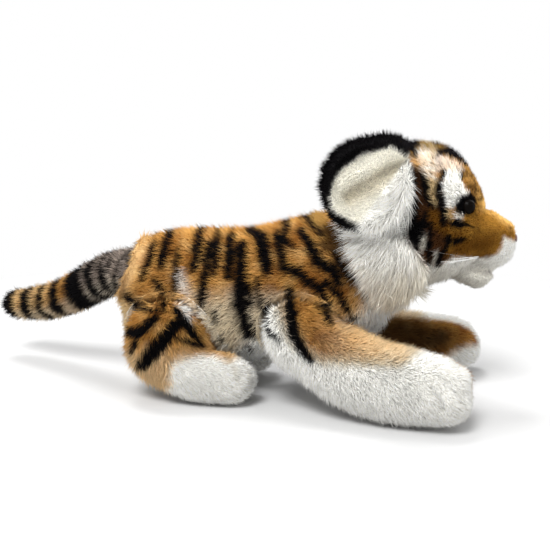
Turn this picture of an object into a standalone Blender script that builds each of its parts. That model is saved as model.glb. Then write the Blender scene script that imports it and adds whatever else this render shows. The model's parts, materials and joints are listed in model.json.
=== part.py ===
"""Plush tiger lying on its belly, nose towards +X, its right side towards -Y.

Skins of plush cloth over stuffing, sewn together at the neck, legs, ears and tail.
Metres, +Z up. The origin is on the floor under the seat.
"""
import itertools
import math

import bmesh
import bpy
from mathutils import Matrix, Vector
from mathutils.bvhtree import BVHTree

# Cloth, seams and clearances
SKIN = 0.005
STUFFING_GAP = 0.0012
GAP = 0.0003
SLIVER = 0.000005
FLAT_ANGLE = math.radians(0.05)
SEAM_GAP = 0.0004
SEAT_CLEARANCE = 0.0004
OVERRUN = 0.010
FAR = 0.500

# Body
BODY_LENGTH = 0.192
BODY_HEIGHT = 0.172
BODY_WIDTH = 0.122
RUMP_X = -0.058
CHEST_RADIUS = 0.062
NECK = Vector((0.135, 0, 0.108))

# Neck band and head
GUSSET_THICK = 0.0045
GUSSET_REACH = math.radians(50)
GUSSET_HOLE = math.radians(20)
NECK_RISE = math.radians(30)
HEAD_TURN = math.radians(2)
HEAD_ROLL = math.radians(-6)
HEAD_LENGTH = 0.136
HEAD_HEIGHT = 0.138
HEAD_WIDTH = 0.112
HEAD_BACK = 0.006
HEAD_BASE = -0.010

# Muzzle, chin and nose
MUZZLE_LENGTH = 0.054
MUZZLE_HEIGHT = 0.064
MUZZLE_WIDTH = 0.058
MUZZLE_SET_IN = 0.002
MUZZLE_X = HEAD_BACK + HEAD_LENGTH - MUZZLE_SET_IN
MUZZLE_Z = 0.040
CHIN_LENGTH = 0.040
CHIN_HEIGHT = 0.028
CHIN_WIDTH = 0.040
CHIN_SET_IN = 0.012
CHIN_X = HEAD_BACK + HEAD_LENGTH - CHIN_SET_IN
CHIN_Z = 0.009
NOSE_WIDTH = 0.016
NOSE_HEIGHT = 0.009
NOSE_DEPTH = 0.005
NOSE_Z = 0.041

# Eyes
EYE_RADIUS = 0.0065
EYE_BULGE = 0.0045
EYE_SET_IN = 0.023
EYE_X = HEAD_BACK + HEAD_LENGTH - EYE_SET_IN
EYE_Y = 0.020
EYE_Z = 0.070
EYE_SPREAD = math.radians(50)
EYE_SINK = 0.0015
SHANK_RADIUS = 0.0016
SHANK_LENGTH = 0.013
WASHER_RADIUS = 0.0065
WASHER_THICK = 0.0015
WASHER_DEPTH = 0.0065
WASHER_ROOM = 0.010

# Cheek ruffs and whiskers
RUFF_LENGTH = 0.078
RUFF_HEIGHT = 0.066
RUFF_THICK = 0.030
RUFF_AHEAD_SHARE = 0.412
RUFF_X = HEAD_LENGTH * RUFF_AHEAD_SHARE
RUFF_Y = 0.050
RUFF_Z = 0.026
RUFF_TILT = math.radians(48)
WHISKER_RADIUS = 0.0004
WHISKER_REACH_SHARE = 0.38
WHISKER_LENGTH = HEAD_LENGTH * WHISKER_REACH_SHARE
WHISKER_COUNT = 5
WHISKER_SIDES = 4
WHISKER_BASE_RADIUS = 0.0045
WHISKER_BASE_THICK = 0.0016
WHISKER_LEVEL = math.radians(8)
WHISKER_FAN = math.radians(34)
WHISKER_OUT = math.radians(32)
WHISKER_DROP_SHARE = 0.22
WHISKER_AHEAD_SHARE = -0.05

# Ears
EAR_RADIUS = 0.040
EAR_DEPTH = 0.015
EAR_BACK_THICK = 0.0050
EAR_LINING_THICK = 0.0030
EAR_X = 0.0335
EAR_Y = 0.060
EAR_Z = 0.087
EAR_FACING = math.radians(18)
EAR_TIP_UP = math.radians(4)
EAR_HINGE_X = 0.056
EAR_HINGE_Y = 0.052
EAR_HINGE_Z = 0.080
EAR_HINGE_LEAN = math.radians(22)
EAR_FLEX = math.radians(15)
EAR_ROOT_RADIUS = 0.007
EAR_ROOT_LENGTH = 0.032

# Front legs
SHOULDER_X = 0.118
SHOULDER_Y = 0.047
SHOULDER_Z = 0.066
SHOULDER_RADIUS = 0.034
FRONT_LEG_LENGTH = 0.158
FRONT_LEG_THICK = 0.070
LEFT_LEG_THICK = 0.062
PAW_SPREAD_RIGHT = 0.046
PAW_SPREAD_LEFT = 0.056
PAW_SEAM_SHARE = 0.47
FRONT_LIFT = math.radians(12)
LIFT_STEPS = (0, 1 / 3, 2 / 3, 1)

# Hind legs
HIP_X = -0.004
HIP_Y = 0.041
HIP_Z = 0.051
THIGH_RADIUS = 0.043
THIGH_HALF_THICK = 0.032
FOOT_LENGTH = 0.091
FOOT_HEIGHT = 0.054
FOOT_WIDTH = 0.048
FOOT_BACK_X = -0.010
FOOT_Y = 0.053
HIND_LIFT = math.radians(10)

# Tail
TAIL_ROOT_X = -0.040
TAIL_ROOT_Z = 0.110
TAIL_ROOT_RADIUS = 0.023
TAIL_LENGTH = 0.174
TAIL_THICK = 0.044
TAIL_SWEEP = 0.094
TAIL_DROP = 0.058
TAIL_TIP_SHARE = 0.856
TAIL_SWING = math.radians(18)
SWING_STEPS = (-1, -1 / 2, 0, 1 / 2, 1)

SIDES = 8
FULLNESS = 1 / math.cos(math.pi / SIDES)
BALL_SEGMENTS = 16
FACET = math.cos(math.pi / BALL_SEGMENTS)
CHEST_SEGMENTS = 24
RIGHT, LEFT = -1, 1
SOLVERS = ("EXACT", "MANIFOLD")
NUDGE = 0.00003
NUDGES = (0, NUDGE, -NUDGE, 2 * NUDGE, -2 * NUDGE)
SIDE_NAMES = {RIGHT: "right", LEFT: "left"}

# Along the body, then middle height, half height and half width
BODY_SHARES = (
    (0.00, 0.500, 0.150, 0.180),
    (0.07, 0.490, 0.330, 0.320),
    (0.22, 0.436, 0.460, 0.420),
    (0.40, 0.436, 0.468, 0.440),
    (0.56, 0.510, 0.385, 0.450),
    (0.72, 0.560, 0.360, 0.460),
    (0.88, 0.618, 0.362, 0.480),
    (1.00, 0.630, 0.340, 0.470),
)

# Along the head, then middle height, half height and half width
HEAD_SHARES = (
    (0.00, 0.300, 0.270, 0.300),
    (0.17, 0.420, 0.430, 0.420),
    (0.36, 0.490, 0.505, 0.500),
    (0.57, 0.520, 0.495, 0.510),
    (0.76, 0.520, 0.440, 0.445),
    (0.93, 0.475, 0.335, 0.330),
    (1.00, 0.430, 0.160, 0.160),
)

# Along the leg, then sideways, middle height, half height and half width
FRONT_LEG_SHARES = (
    (0.22, 0.36, 0.68, 0.52, 0.50),
    (0.42, 0.60, 0.50, 0.51, 0.49),
    (0.62, 0.78, 0.48, 0.50, 0.49),
    (0.82, 0.92, 0.47, 0.49, 0.53),
    (0.94, 0.99, 0.41, 0.39, 0.46),
    (1.00, 1.00, 0.35, 0.21, 0.26),
)
ROOT_CAP_SHARES = ((0.80, 0.30), (0.50, 0.66), (0.00, 0.96))

# Along the foot, then middle height, half height and half width
FOOT_SHARES = (
    (0.00, 0.50, 0.34, 0.34),
    (0.16, 0.48, 0.48, 0.46),
    (0.50, 0.48, 0.50, 0.49),
    (0.80, 0.48, 0.51, 0.50),
    (0.94, 0.47, 0.40, 0.40),
    (1.00, 0.44, 0.20, 0.20),
)

# Along the tail, then sweep to the side, drop, half thickness
TAIL_SHARES = (
    (0.14, 0.14, 0.02, 0.50),
    (0.35, 0.40, 0.37, 0.49),
    (0.55, 0.62, 0.75, 0.45),
    (0.76, 0.82, 0.93, 0.42),
    (0.94, 0.97, 1.00, 0.38),
    (1.00, 1.00, 1.00, 0.20),
)

# Along a rounded pad, then half height and half width
PAD_SHARES = ((-0.50, 0.20), (-0.38, 0.36), (0.00, 0.50), (0.38, 0.36), (0.50, 0.20))
RUFF_SHARES = ((-0.50, 0.12), (-0.30, 0.30), (0.05, 0.50), (0.36, 0.42), (0.50, 0.22))
THIGH_STEPS = 6
THIGH_CAP_SHARE = 0.45
EAR_LIP_SHARES = (0.00, 0.30, 0.60, 0.80)
EAR_RING_SHARES = ((0.30, 0.05), (0.62, 0.25), (0.88, 0.64), (1.00, 1.00))


def clear_scene():
    for obj in list(bpy.data.objects):
        bpy.data.objects.remove(obj, do_unlink=True)


def collection(name):
    group = bpy.data.collections.new(name)
    bpy.context.scene.collection.children.link(group)
    return group


def material(name, colour, roughness, metallic=0.0):
    mat = bpy.data.materials.new(name)
    mat.use_nodes = True
    shader = mat.node_tree.nodes["Principled BSDF"]
    shader.inputs["Base Color"].default_value = (*colour, 1.0)
    shader.inputs["Roughness"].default_value = roughness
    shader.inputs["Metallic"].default_value = metallic
    return mat


def pivot(name, location, rotation=(0, 0, 0), parent=None):
    """An empty on a joint's axis; the pieces that move with it are its children."""
    empty = bpy.data.objects.new(name, None)
    PARTS.objects.link(empty)
    empty.parent = parent
    empty.location = location
    empty.rotation_euler = rotation
    bpy.context.view_layer.update()
    return empty


def place(name, mesh, group, carrier=None, matrix=None):
    obj = bpy.data.objects.new(name, mesh)
    group.objects.link(obj)
    obj.parent = carrier
    if matrix is not None:
        obj.matrix_local = matrix
    if group is CUTTERS:
        obj.hide_render = True
        obj.display_type = "WIRE"
    bpy.context.view_layer.update()
    return obj


def piece(name, mesh, mat, carrier=None):
    obj = place(name, mesh, PARTS, carrier)
    obj.data.materials.clear()
    obj.data.materials.append(mat)
    return obj


def cutter(name, mesh, carrier=None, matrix=None):
    return place(name, mesh, CUTTERS, carrier, matrix)


def boolean(obj, other, operation, solver):
    mod = obj.modifiers.new(operation.lower(), "BOOLEAN")
    mod.operation = operation
    mod.solver = solver
    mod.object = other


def tidied(mesh):
    """A copy of true triangles, with its slivers and needless edges gone."""
    tidy = mesh.copy()
    bm = bmesh.new()
    bm.from_mesh(tidy)
    bmesh.ops.remove_doubles(bm, verts=bm.verts, dist=SLIVER)
    bmesh.ops.dissolve_degenerate(bm, dist=SLIVER, edges=bm.edges)
    bmesh.ops.triangulate(bm, faces=bm.faces)
    bmesh.ops.dissolve_limit(bm, angle_limit=FLAT_ANGLE, verts=bm.verts, edges=bm.edges)
    bmesh.ops.triangulate(bm, faces=bm.faces)
    bm.to_mesh(tidy)
    bm.free()
    return tidy


def is_closed(mesh):
    bm = bmesh.new()
    bm.from_mesh(mesh)
    closed = len(bm.faces) > 0 and all(edge.is_manifold for edge in bm.edges)
    bm.free()
    return closed


def frozen(obj):
    """The evaluated shape of an object as plain mesh data, tidied where that keeps it closed."""
    bpy.context.view_layer.update()
    depsgraph = bpy.context.evaluated_depsgraph_get()
    mesh = bpy.data.meshes.new_from_object(obj.evaluated_get(depsgraph))
    mesh.name = obj.name
    tidy = tidied(mesh)
    return tidy if is_closed(tidy) else mesh


def mesh_from(name, build):
    mesh = bpy.data.meshes.new(name)
    bm = bmesh.new()
    build(bm)
    bmesh.ops.recalc_face_normals(bm, faces=bm.faces)
    bm.to_mesh(mesh)
    bm.free()
    return mesh


def ring_points(centre, across, up, half_width, half_height, sides=SIDES):
    points = []
    for k in range(sides):
        angle = 2 * math.pi * k / sides
        points.append(
            centre + across * (half_width * math.cos(angle)) + up * (half_height * math.sin(angle))
        )
    return points


def loft_mesh(name, rings):
    """A closed cage through rings of points, with a flat cap at each end."""

    def build(bm):
        loops = [[bm.verts.new(point) for point in ring] for ring in rings]
        for low, high in zip(loops, loops[1:]):
            count = len(low)
            for k in range(count):
                bm.faces.new((low[k], low[(k + 1) % count], high[(k + 1) % count], high[k]))
        bm.faces.new(loops[0])
        bm.faces.new(loops[-1])

    return mesh_from(name, build)


def rounded(name, rings, levels=1):
    """The smooth form that a coarse cage stands for."""
    cage = cutter(name, loft_mesh(name, rings))
    subsurf = cage.modifiers.new("round", "SUBSURF")
    subsurf.levels = levels
    subsurf.render_levels = levels
    mesh = frozen(cage)
    bpy.data.objects.remove(cage)
    return mesh


def path_rings(path, inset=0.0, upright=False, sides=SIDES):
    """Rings along a path of (point, half width, half height), square to it or upright."""
    points = [step[0] for step in path]
    swell = FULLNESS if inset == 0 else 1
    rings = []
    for k, (point, half_width, half_height) in enumerate(path):
        ahead = points[min(k + 1, len(points) - 1)] - points[max(k - 1, 0)]
        if upright:
            ahead = Vector((ahead.x, 0, 0))
        ahead.normalize()
        across = Vector((0, 0, 1)).cross(ahead).normalized()
        up = ahead.cross(across)
        width = swell * (half_width - inset)
        height = swell * (half_height - inset)
        rings.append(ring_points(point, across, up, width, height, sides))
    return rings


def settled(path):
    """The path as the rounded form follows it: each ring drawn a little to its neighbours."""
    result = []
    for before, here, after in zip(path, path[1:], path[2:]):
        result.append(tuple((a + 6 * b + c) / 8 for a, b, c in zip(before, here, after)))
    return result


def outer_form(name, path, upright=False):
    return rounded(name, path_rings(path, 0, upright))


def cage_form(name, path, upright=False):
    """The coarse cage itself, which holds the rounded form of the same path within it."""
    return loft_mesh(name, path_rings(path, 0, upright))


def inner_form(name, path, inset, upright=False):
    """A plain core that lies inside the rounded form of the same path."""
    return loft_mesh(name, path_rings(settled(path), inset, upright))


def ball_mesh(name, radius, segments=BALL_SEGMENTS):
    def build(bm):
        bmesh.ops.create_uvsphere(
            bm, u_segments=segments, v_segments=segments // 2, radius=radius
        )

    return mesh_from(name, build)


def box_mesh(name, low, high):
    def build(bm):
        middle = (Vector(low) + Vector(high)) / 2
        size = Vector(high) - Vector(low)
        matrix = Matrix.Translation(middle) @ Matrix.Diagonal((*size, 1))
        bmesh.ops.create_cube(bm, size=1, matrix=matrix)

    return mesh_from(name, build)


def rod_mesh(name, radius, start, end, segments=BALL_SEGMENTS):
    """A cylinder between two points."""

    def build(bm):
        axis = end - start
        turn = axis.to_track_quat("Z", "Y").to_matrix().to_4x4()
        matrix = Matrix.Translation((start + end) / 2) @ turn
        bmesh.ops.create_cone(
            bm, cap_ends=True, segments=segments, radius1=radius, radius2=radius,
            depth=axis.length, matrix=matrix,
        )

    return mesh_from(name, build)


def turned_about(point, axis, angle):
    return (
        Matrix.Translation(point) @ Matrix.Rotation(angle, 4, axis) @ Matrix.Translation(-point)
    )


def seat_on(mesh, origin, direction):
    """Where a ray from inside a form leaves it, and the way its surface faces there."""
    bm = bmesh.new()
    bm.from_mesh(mesh)
    tree = BVHTree.FromBMesh(bm)
    place_hit, normal, _, _ = tree.ray_cast(origin, direction)
    bm.free()
    return place_hit, normal


def facing(point, normal):
    """A frame at a point whose Z axis is the normal."""
    return Matrix.Translation(point) @ normal.to_track_quat("Z", "Y").to_matrix().to_4x4()


def turned_mesh(name, profile, segments=BALL_SEGMENTS):
    """A body turned about Z from (radius, height) points, the first and last of them flat caps."""
    across, up = Vector((1, 0, 0)), Vector((0, 1, 0))
    rings = [
        ring_points(Vector((0, 0, height)), across, up, radius, radius, segments)
        for radius, height in profile
    ]
    return loft_mesh(name, rings)


def combined(name, mesh, others, operation, carrier=None):
    """The mesh joined with or cut by each other object in turn, in the carrier's frame.

    A cut that leaves the mesh open is tried again a hair to one side, then with the other solver.
    """
    for other in others:
        at = other.location.copy()
        for solver, nudge in itertools.product(SOLVERS, NUDGES):
            other.location = at + Vector((nudge, nudge, nudge))
            obj = cutter(name, mesh, carrier)
            boolean(obj, other, operation, solver)
            result = frozen(obj)
            bpy.data.objects.remove(obj)
            if is_closed(result):
                break
        other.location = at
        mesh = result
    return mesh


def cut_mesh(name, mesh, cutters, carrier=None):
    return combined(name, mesh, cutters, "DIFFERENCE", carrier)


def joined_mesh(name, mesh, other_mesh):
    other = cutter(name + "_other", other_mesh)
    result = combined(name, mesh, [other], "UNION")
    bpy.data.objects.remove(other)
    return result


def swollen_mesh(name, mesh, amount):
    """A form grown by a small clearance all round."""
    obj = cutter(name, mesh)
    swell = obj.modifiers.new("clearance", "DISPLACE")
    swell.strength = amount
    swell.mid_level = 0
    result = frozen(obj)
    bpy.data.objects.remove(obj)
    return result


def swept_cutters(name, mesh, frame, point, axis, angles):
    """What a neighbour fills, seen from a piece that turns about a hinge through these angles."""
    cutters = []
    for k, angle in enumerate(angles):
        matrix = turned_about(point, axis, -angle) @ frame
        cutters.append(cutter(f"{name}_{k}", mesh, None, matrix))
    return cutters


def skin_and_core(name, outer, inner, core, mats, cutters, carrier=None):
    """A cloth skin round a stuffed core, both cut back by the same neighbours."""
    hollow = cutter(name + "_hollow", inner, carrier)
    skin = cut_mesh(name + "_skin", outer, [hollow] + cutters, carrier)
    piece(name + "_skin", skin, mats[0], carrier)
    stuffing = cut_mesh(name + "_stuffing", core, cutters, carrier)
    piece(name + "_stuffing", stuffing, mats[1], carrier)


def body_path():
    path = []
    for along, middle, half_height, half_width in BODY_SHARES:
        centre = Vector((RUMP_X + along * BODY_LENGTH, 0, middle * BODY_HEIGHT))
        path.append((centre, half_width * BODY_WIDTH, half_height * BODY_HEIGHT))
    return path


def chest_ball(name, radius, segments):
    mesh = ball_mesh(name, radius, segments)
    mesh.transform(Matrix.Translation(NECK))
    return mesh


def body_form(name, inset=0.0):
    """The body's outline: a loft from rump to chest, closed by the ball that the head turns on."""
    if inset == 0:
        loft = outer_form(name + "_loft", body_path(), upright=True)
    else:
        loft = inner_form(name + "_loft", body_path(), inset, upright=True)
    segments = CHEST_SEGMENTS if inset == 0 else BALL_SEGMENTS
    return joined_mesh(name, loft, chest_ball(name + "_chest", CHEST_RADIUS - inset, segments))


def head_path():
    path = []
    for along, middle, half_height, half_width in HEAD_SHARES:
        centre = Vector((HEAD_BACK + along * HEAD_LENGTH, 0, HEAD_BASE + middle * HEAD_HEIGHT))
        path.append((centre, half_width * HEAD_WIDTH, half_height * HEAD_HEIGHT))
    return path


def root_cap(radius, first_point):
    """The rings at and behind a limb's hinge that round its root off as a ball."""
    direction = first_point.normalized()
    return [
        (direction * (-back * radius), width * radius, width * radius)
        for back, width in ROOT_CAP_SHARES
    ]


def front_leg_path(side):
    spread = PAW_SPREAD_RIGHT if side == RIGHT else PAW_SPREAD_LEFT
    thick = FRONT_LEG_THICK if side == RIGHT else LEFT_LEG_THICK
    path = []
    for along, out, middle, half_height, half_width in FRONT_LEG_SHARES:
        centre = Vector((
            along * FRONT_LEG_LENGTH,
            side * out * spread,
            middle * thick - SHOULDER_Z,
        ))
        path.append((centre, half_width * thick, half_height * thick))
    return root_cap(SHOULDER_RADIUS, path[0][0]) + path


def foot_path(side):
    path = []
    for along, middle, half_height, half_width in FOOT_SHARES:
        centre = Vector((
            FOOT_BACK_X - HIP_X + along * FOOT_LENGTH,
            side * (FOOT_Y - HIP_Y),
            middle * FOOT_HEIGHT - HIP_Z,
        ))
        path.append((centre, half_width * FOOT_WIDTH, half_height * FOOT_HEIGHT))
    return path


def tail_path():
    path = []
    for along, sweep, drop, half in TAIL_SHARES:
        centre = Vector((-along * TAIL_LENGTH, sweep * TAIL_SWEEP, -drop * TAIL_DROP))
        path.append((centre, half * TAIL_THICK, half * TAIL_THICK))
    return root_cap(TAIL_ROOT_RADIUS, path[0][0]) + path


def thigh_mesh(name, grow=0.0, spread=1.0):
    """A disc-like ham, turned about the hip's axis so that it swings in its own hollow."""
    radius = THIGH_RADIUS * spread + grow
    half_thick = THIGH_HALF_THICK + grow
    across, up = Vector((1, 0, 0)), Vector((0, 0, 1))
    rings = []
    for k in range(THIGH_STEPS):
        angle = math.pi * (k + THIGH_CAP_SHARE) / (THIGH_STEPS - 1 + 2 * THIGH_CAP_SHARE)
        centre = Vector((0, -half_thick * math.cos(angle), 0))
        width = radius * math.sin(angle)
        rings.append(ring_points(centre, across, up, width, width, BALL_SEGMENTS))
    return loft_mesh(name, rings)


def seam_box(name, path, share, ahead):
    """A block that takes away a limb ahead of a seam, or behind it."""
    first = len(ROOT_CAP_SHARES)
    limb = path[first:]
    at = share * (len(limb) - 1)
    low = int(at)
    start, end = limb[low][0], limb[low + 1][0]
    point = start.lerp(end, at - low)
    direction = (end - start).normalized()
    if not ahead:
        direction = -direction
    block = box_mesh(name, (-FAR, -FAR, -GAP / 2), (FAR, FAR, FAR))
    block.transform(facing(point, direction))
    return block


def ear_profile(radius, depth, thick, base):
    """A bowl's closed outline: out along its back and home along its front."""
    back = [(share * radius, base + rise * depth) for share, rise in EAR_RING_SHARES]
    front = [(width - thick * lip, height + thick) for (width, height), lip in
             zip(back, EAR_LIP_SHARES)]
    return back + front[::-1]


def floor_cutter():
    return cutter("floor", box_mesh("floor", (-FAR, -FAR, -FAR), (FAR, FAR, 0)))


def torso(mats, sockets, floor):
    skin_and_core(
        "torso", body_form("body"), body_form("body_hollow", SKIN),
        body_form("body_core", SKIN + STUFFING_GAP), mats, sockets + [floor],
    )


def neck(mats, carrier):
    """A band of plush, part of a ball, between the body and the head."""
    inner = ball_hollow(CHEST_RADIUS)
    outer = inner + GUSSET_THICK
    steps = [GUSSET_HOLE + share * (GUSSET_REACH - GUSSET_HOLE) for share in (0, 0.5, 1)]
    profile = [(inner * math.sin(a), inner * math.cos(a)) for a in steps]
    profile += [(outer * math.sin(a), outer * math.cos(a)) for a in reversed(steps)]
    rings = [
        ring_points(Vector((0, 0, height)), Vector((1, 0, 0)), Vector((0, 1, 0)), radius, radius,
                    CHEST_SEGMENTS)
        for radius, height in profile
    ]
    band = closed_loop_mesh("neck_gusset", rings)
    rise = Vector((math.cos(NECK_RISE), 0, math.sin(NECK_RISE)))
    band.transform(facing(Vector((0, 0, 0)), rise))
    piece("neck_gusset", band, mats[0], carrier)
    return outer


def closed_loop_mesh(name, rings):
    """A closed ring of rings, as a turned band with no caps."""

    def build(bm):
        loops = [[bm.verts.new(point) for point in ring] for ring in rings]
        for low, high in zip(loops, loops[1:] + loops[:1]):
            count = len(low)
            for k in range(count):
                bm.faces.new((low[k], low[(k + 1) % count], high[(k + 1) % count], high[k]))

    return mesh_from(name, build)


def ball_hollow(radius):
    """The size of a faceted hollow that a ball of this radius turns in freely."""
    facet = math.cos(math.pi / CHEST_SEGMENTS)
    return (radius + SEAT_CLEARANCE) / (facet * facet)


def ball_cutter(name, radius, carrier):
    return cutter(name, ball_mesh(name, ball_hollow(radius), CHEST_SEGMENTS), carrier)


def limb_skins(name, end_name, path, share, radius, cutters, floor, carrier, mats):
    """A limb's skin with its root ball, its end piece beyond a seam, and their stuffing."""
    stuffed = path[len(ROOT_CAP_SHARES) - 1:]
    hollow = cutter(name + "_hollow", inner_form(name + "_hollow", stuffed, SKIN), carrier)
    outer = cut_mesh(name, outer_form(name, path), cutters, carrier)
    outer = joined_mesh(name, outer, ball_mesh(name + "_root", radius, CHEST_SEGMENTS))
    outer = cut_mesh(name, outer, [hollow, floor], carrier)
    for label, mat, ahead in ((name + "_skin", mats[0], True), (end_name, mats[1], False)):
        seam_name = label + "_seam"
        seam = cutter(seam_name, seam_box(seam_name, path, share, ahead), carrier)
        piece(label, cut_mesh(label, outer, [seam], carrier), mat, carrier)
    core = inner_form(name + "_core", stuffed, SKIN + STUFFING_GAP)
    core = cut_mesh(name + "_stuffing", core, cutters + [floor], carrier)
    piece(name + "_stuffing", core, mats[2], carrier)


def front_leg(side, mats, body, floor):
    name = "front_leg_" + SIDE_NAMES[side]
    shoulder = Vector((SHOULDER_X, side * SHOULDER_Y, SHOULDER_Z))
    carrier = pivot(name + "_pivot", shoulder)
    clear = swollen_mesh(name + "_body", body, SEAM_GAP)
    angles = [-share * FRONT_LIFT for share in LIFT_STEPS]
    cutters = swept_cutters(
        name + "_body", clear, Matrix.Identity(4), shoulder, Vector((0, 1, 0)), angles
    )
    path = front_leg_path(side)
    paw_name = "front_paw_skin_" + SIDE_NAMES[side]
    limb_skins(
        name, paw_name, path, PAW_SEAM_SHARE, SHOULDER_RADIUS, cutters, floor, carrier, mats
    )
    return ball_cutter(name + "_socket", SHOULDER_RADIUS, carrier)


def hind_leg(side, mats, body, floor):
    name = "hind_leg_" + SIDE_NAMES[side]
    hip = Vector((HIP_X, side * HIP_Y, HIP_Z))
    carrier = pivot(name + "_pivot", hip)
    hole = cutter(name + "_opening", rod_mesh(
        name + "_opening", THIGH_HALF_THICK / 2, Vector((0, 0, 0)), Vector((0, -side * FAR, 0))
    ), carrier)
    hollow = cutter(name + "_hollow", thigh_mesh(name + "_hollow", -SKIN), carrier)
    skin = cut_mesh(name + "_skin", thigh_mesh(name), [hollow, floor, hole], carrier)
    piece(name + "_skin", skin, mats[0], carrier)
    core = cut_mesh(name + "_core", thigh_mesh(name, -SKIN - GAP), [floor], carrier)
    piece(name + "_stuffing", core, mats[2], carrier)
    foot_name = "hind_foot_" + SIDE_NAMES[side]
    angles = [-share * HIND_LIFT for share in LIFT_STEPS]
    grown = swollen_mesh(foot_name + "_body", body, SEAM_GAP)
    cutters = swept_cutters(
        foot_name + "_body", grown, Matrix.Identity(4), hip, Vector((0, 1, 0)), angles
    )
    cutters.append(cutter(foot_name + "_thigh", thigh_mesh("thigh", SEAM_GAP), carrier))
    path = foot_path(side)
    skin_and_core(
        foot_name, outer_form(foot_name, path, upright=True),
        inner_form(foot_name + "_hollow", path, SKIN, upright=True),
        inner_form(foot_name + "_core", path, SKIN + STUFFING_GAP, upright=True),
        (mats[1], mats[2]), cutters + [floor], carrier,
    )
    hollow = thigh_mesh(name + "_socket", SEAT_CLEARANCE, 1 / FACET)
    return cutter(name + "_socket", hollow, carrier)


def tail(mats, floor):
    root = Vector((TAIL_ROOT_X, 0, TAIL_ROOT_Z))
    carrier = pivot("tail_pivot", root)
    body = cage_form("tail_body", body_path(), upright=True)
    clear = swollen_mesh("tail_body", body, SEAM_GAP)
    angles = [share * TAIL_SWING for share in SWING_STEPS]
    cutters = swept_cutters(
        "tail_body", clear, Matrix.Identity(4), root, Vector((0, 0, 1)), angles
    )
    limb_skins(
        "tail", "tail_tip", tail_path(), TAIL_TIP_SHARE, TAIL_ROOT_RADIUS, cutters, floor,
        carrier, mats,
    )
    return ball_cutter("tail_socket", TAIL_ROOT_RADIUS, carrier)


def pad_path(centre, along, shares, length, height, width):
    return [
        (centre + along * (step * length), half * width, half * height) for step, half in shares
    ]


def safety_eye(side, mats, carrier, head_mesh):
    """A domed eye on a shank, with the hollows that it needs in the skin and the stuffing."""
    name = "eye_" + SIDE_NAMES[side]
    start = Vector((EYE_X - EYE_RADIUS, side * EYE_Y, EYE_Z))
    look = Vector((math.cos(EYE_SPREAD), side * math.sin(EYE_SPREAD), 0))
    point, normal = seat_on(head_mesh, start, look)
    frame = facing(point - normal * (EYE_SINK - GAP), normal)
    dome = [
        (EYE_RADIUS * math.cos(angle), EYE_BULGE * math.sin(angle))
        for angle in (math.radians(80), math.radians(50), math.radians(20), 0)
    ]
    stem = [(SHANK_RADIUS, 0), (SHANK_RADIUS, -SHANK_LENGTH)]
    mesh = turned_mesh(name, dome + stem)
    mesh.transform(frame)
    piece(name, mesh, mats[0], carrier)
    washer_name = "eye_washer_" + SIDE_NAMES[side]
    washer_end = WASHER_DEPTH + WASHER_THICK
    washer = down_rod(washer_name, WASHER_RADIUS, WASHER_DEPTH, washer_end, frame)
    bore = down_rod(name + "_bore", SHANK_RADIUS + GAP, -OVERRUN, WASHER_ROOM + OVERRUN, frame)
    bore = cutter(name + "_bore", bore, carrier)
    washer = cut_mesh(washer_name, washer, [bore], carrier)
    piece(washer_name, washer, mats[1], carrier)
    seat = down_rod(name + "_seat", EYE_RADIUS + GAP, -OVERRUN, GAP, frame)
    room = down_rod(
        name + "_room", WASHER_RADIUS + GAP, WASHER_DEPTH - GAP, SHANK_LENGTH + WASHER_ROOM, frame
    )
    return [bore, cutter(seat.name, seat, carrier), cutter(room.name, room, carrier)]


def down_rod(name, radius, start, end, frame):
    """A cylinder between two depths below a frame's origin."""
    rod = rod_mesh(name, radius, Vector((0, 0, -start)), Vector((0, 0, -end)))
    rod.transform(frame)
    return rod


def whiskers(side, mat, carrier, muzzle_mesh):
    """A fan of filaments set in one small button on the side of the muzzle."""
    name = "whiskers_" + SIDE_NAMES[side]
    start = Vector((MUZZLE_X, 0, MUZZLE_Z - MUZZLE_HEIGHT * WHISKER_DROP_SHARE))
    point, normal = seat_on(muzzle_mesh, start, Vector((WHISKER_AHEAD_SHARE, side, 0)))
    frame = facing(point + normal * GAP, normal)
    base = rod_mesh(name, WHISKER_BASE_RADIUS, Vector((0, 0, 0)),
                    Vector((0, 0, WHISKER_BASE_THICK)), SIDES)
    base.transform(frame)
    root = frame @ Vector((0, 0, WHISKER_BASE_THICK / 2))
    upward = (Vector((0, 0, 1)) - normal * normal.z).normalized()
    for k in range(WHISKER_COUNT):
        share = k / (WHISKER_COUNT - 1) - 1 / 2
        rise = WHISKER_LEVEL + share * WHISKER_FAN
        out = WHISKER_OUT
        aim = Vector((
            -math.cos(out) * math.cos(rise), side * math.sin(out), math.cos(out) * math.sin(rise)
        ))
        foot = root + upward * (share * WHISKER_BASE_RADIUS)
        points = [foot, foot + (aim + normal) * (WHISKER_LENGTH / 4)]
        points.append(foot + aim * WHISKER_LENGTH)
        path = [(spot, WHISKER_RADIUS, WHISKER_RADIUS) for spot in points]
        strand = loft_mesh(f"{name}_{k}", path_rings(path, sides=WHISKER_SIDES))
        base = joined_mesh(name, base, strand)
    piece(name, base, mat, carrier)


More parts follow.
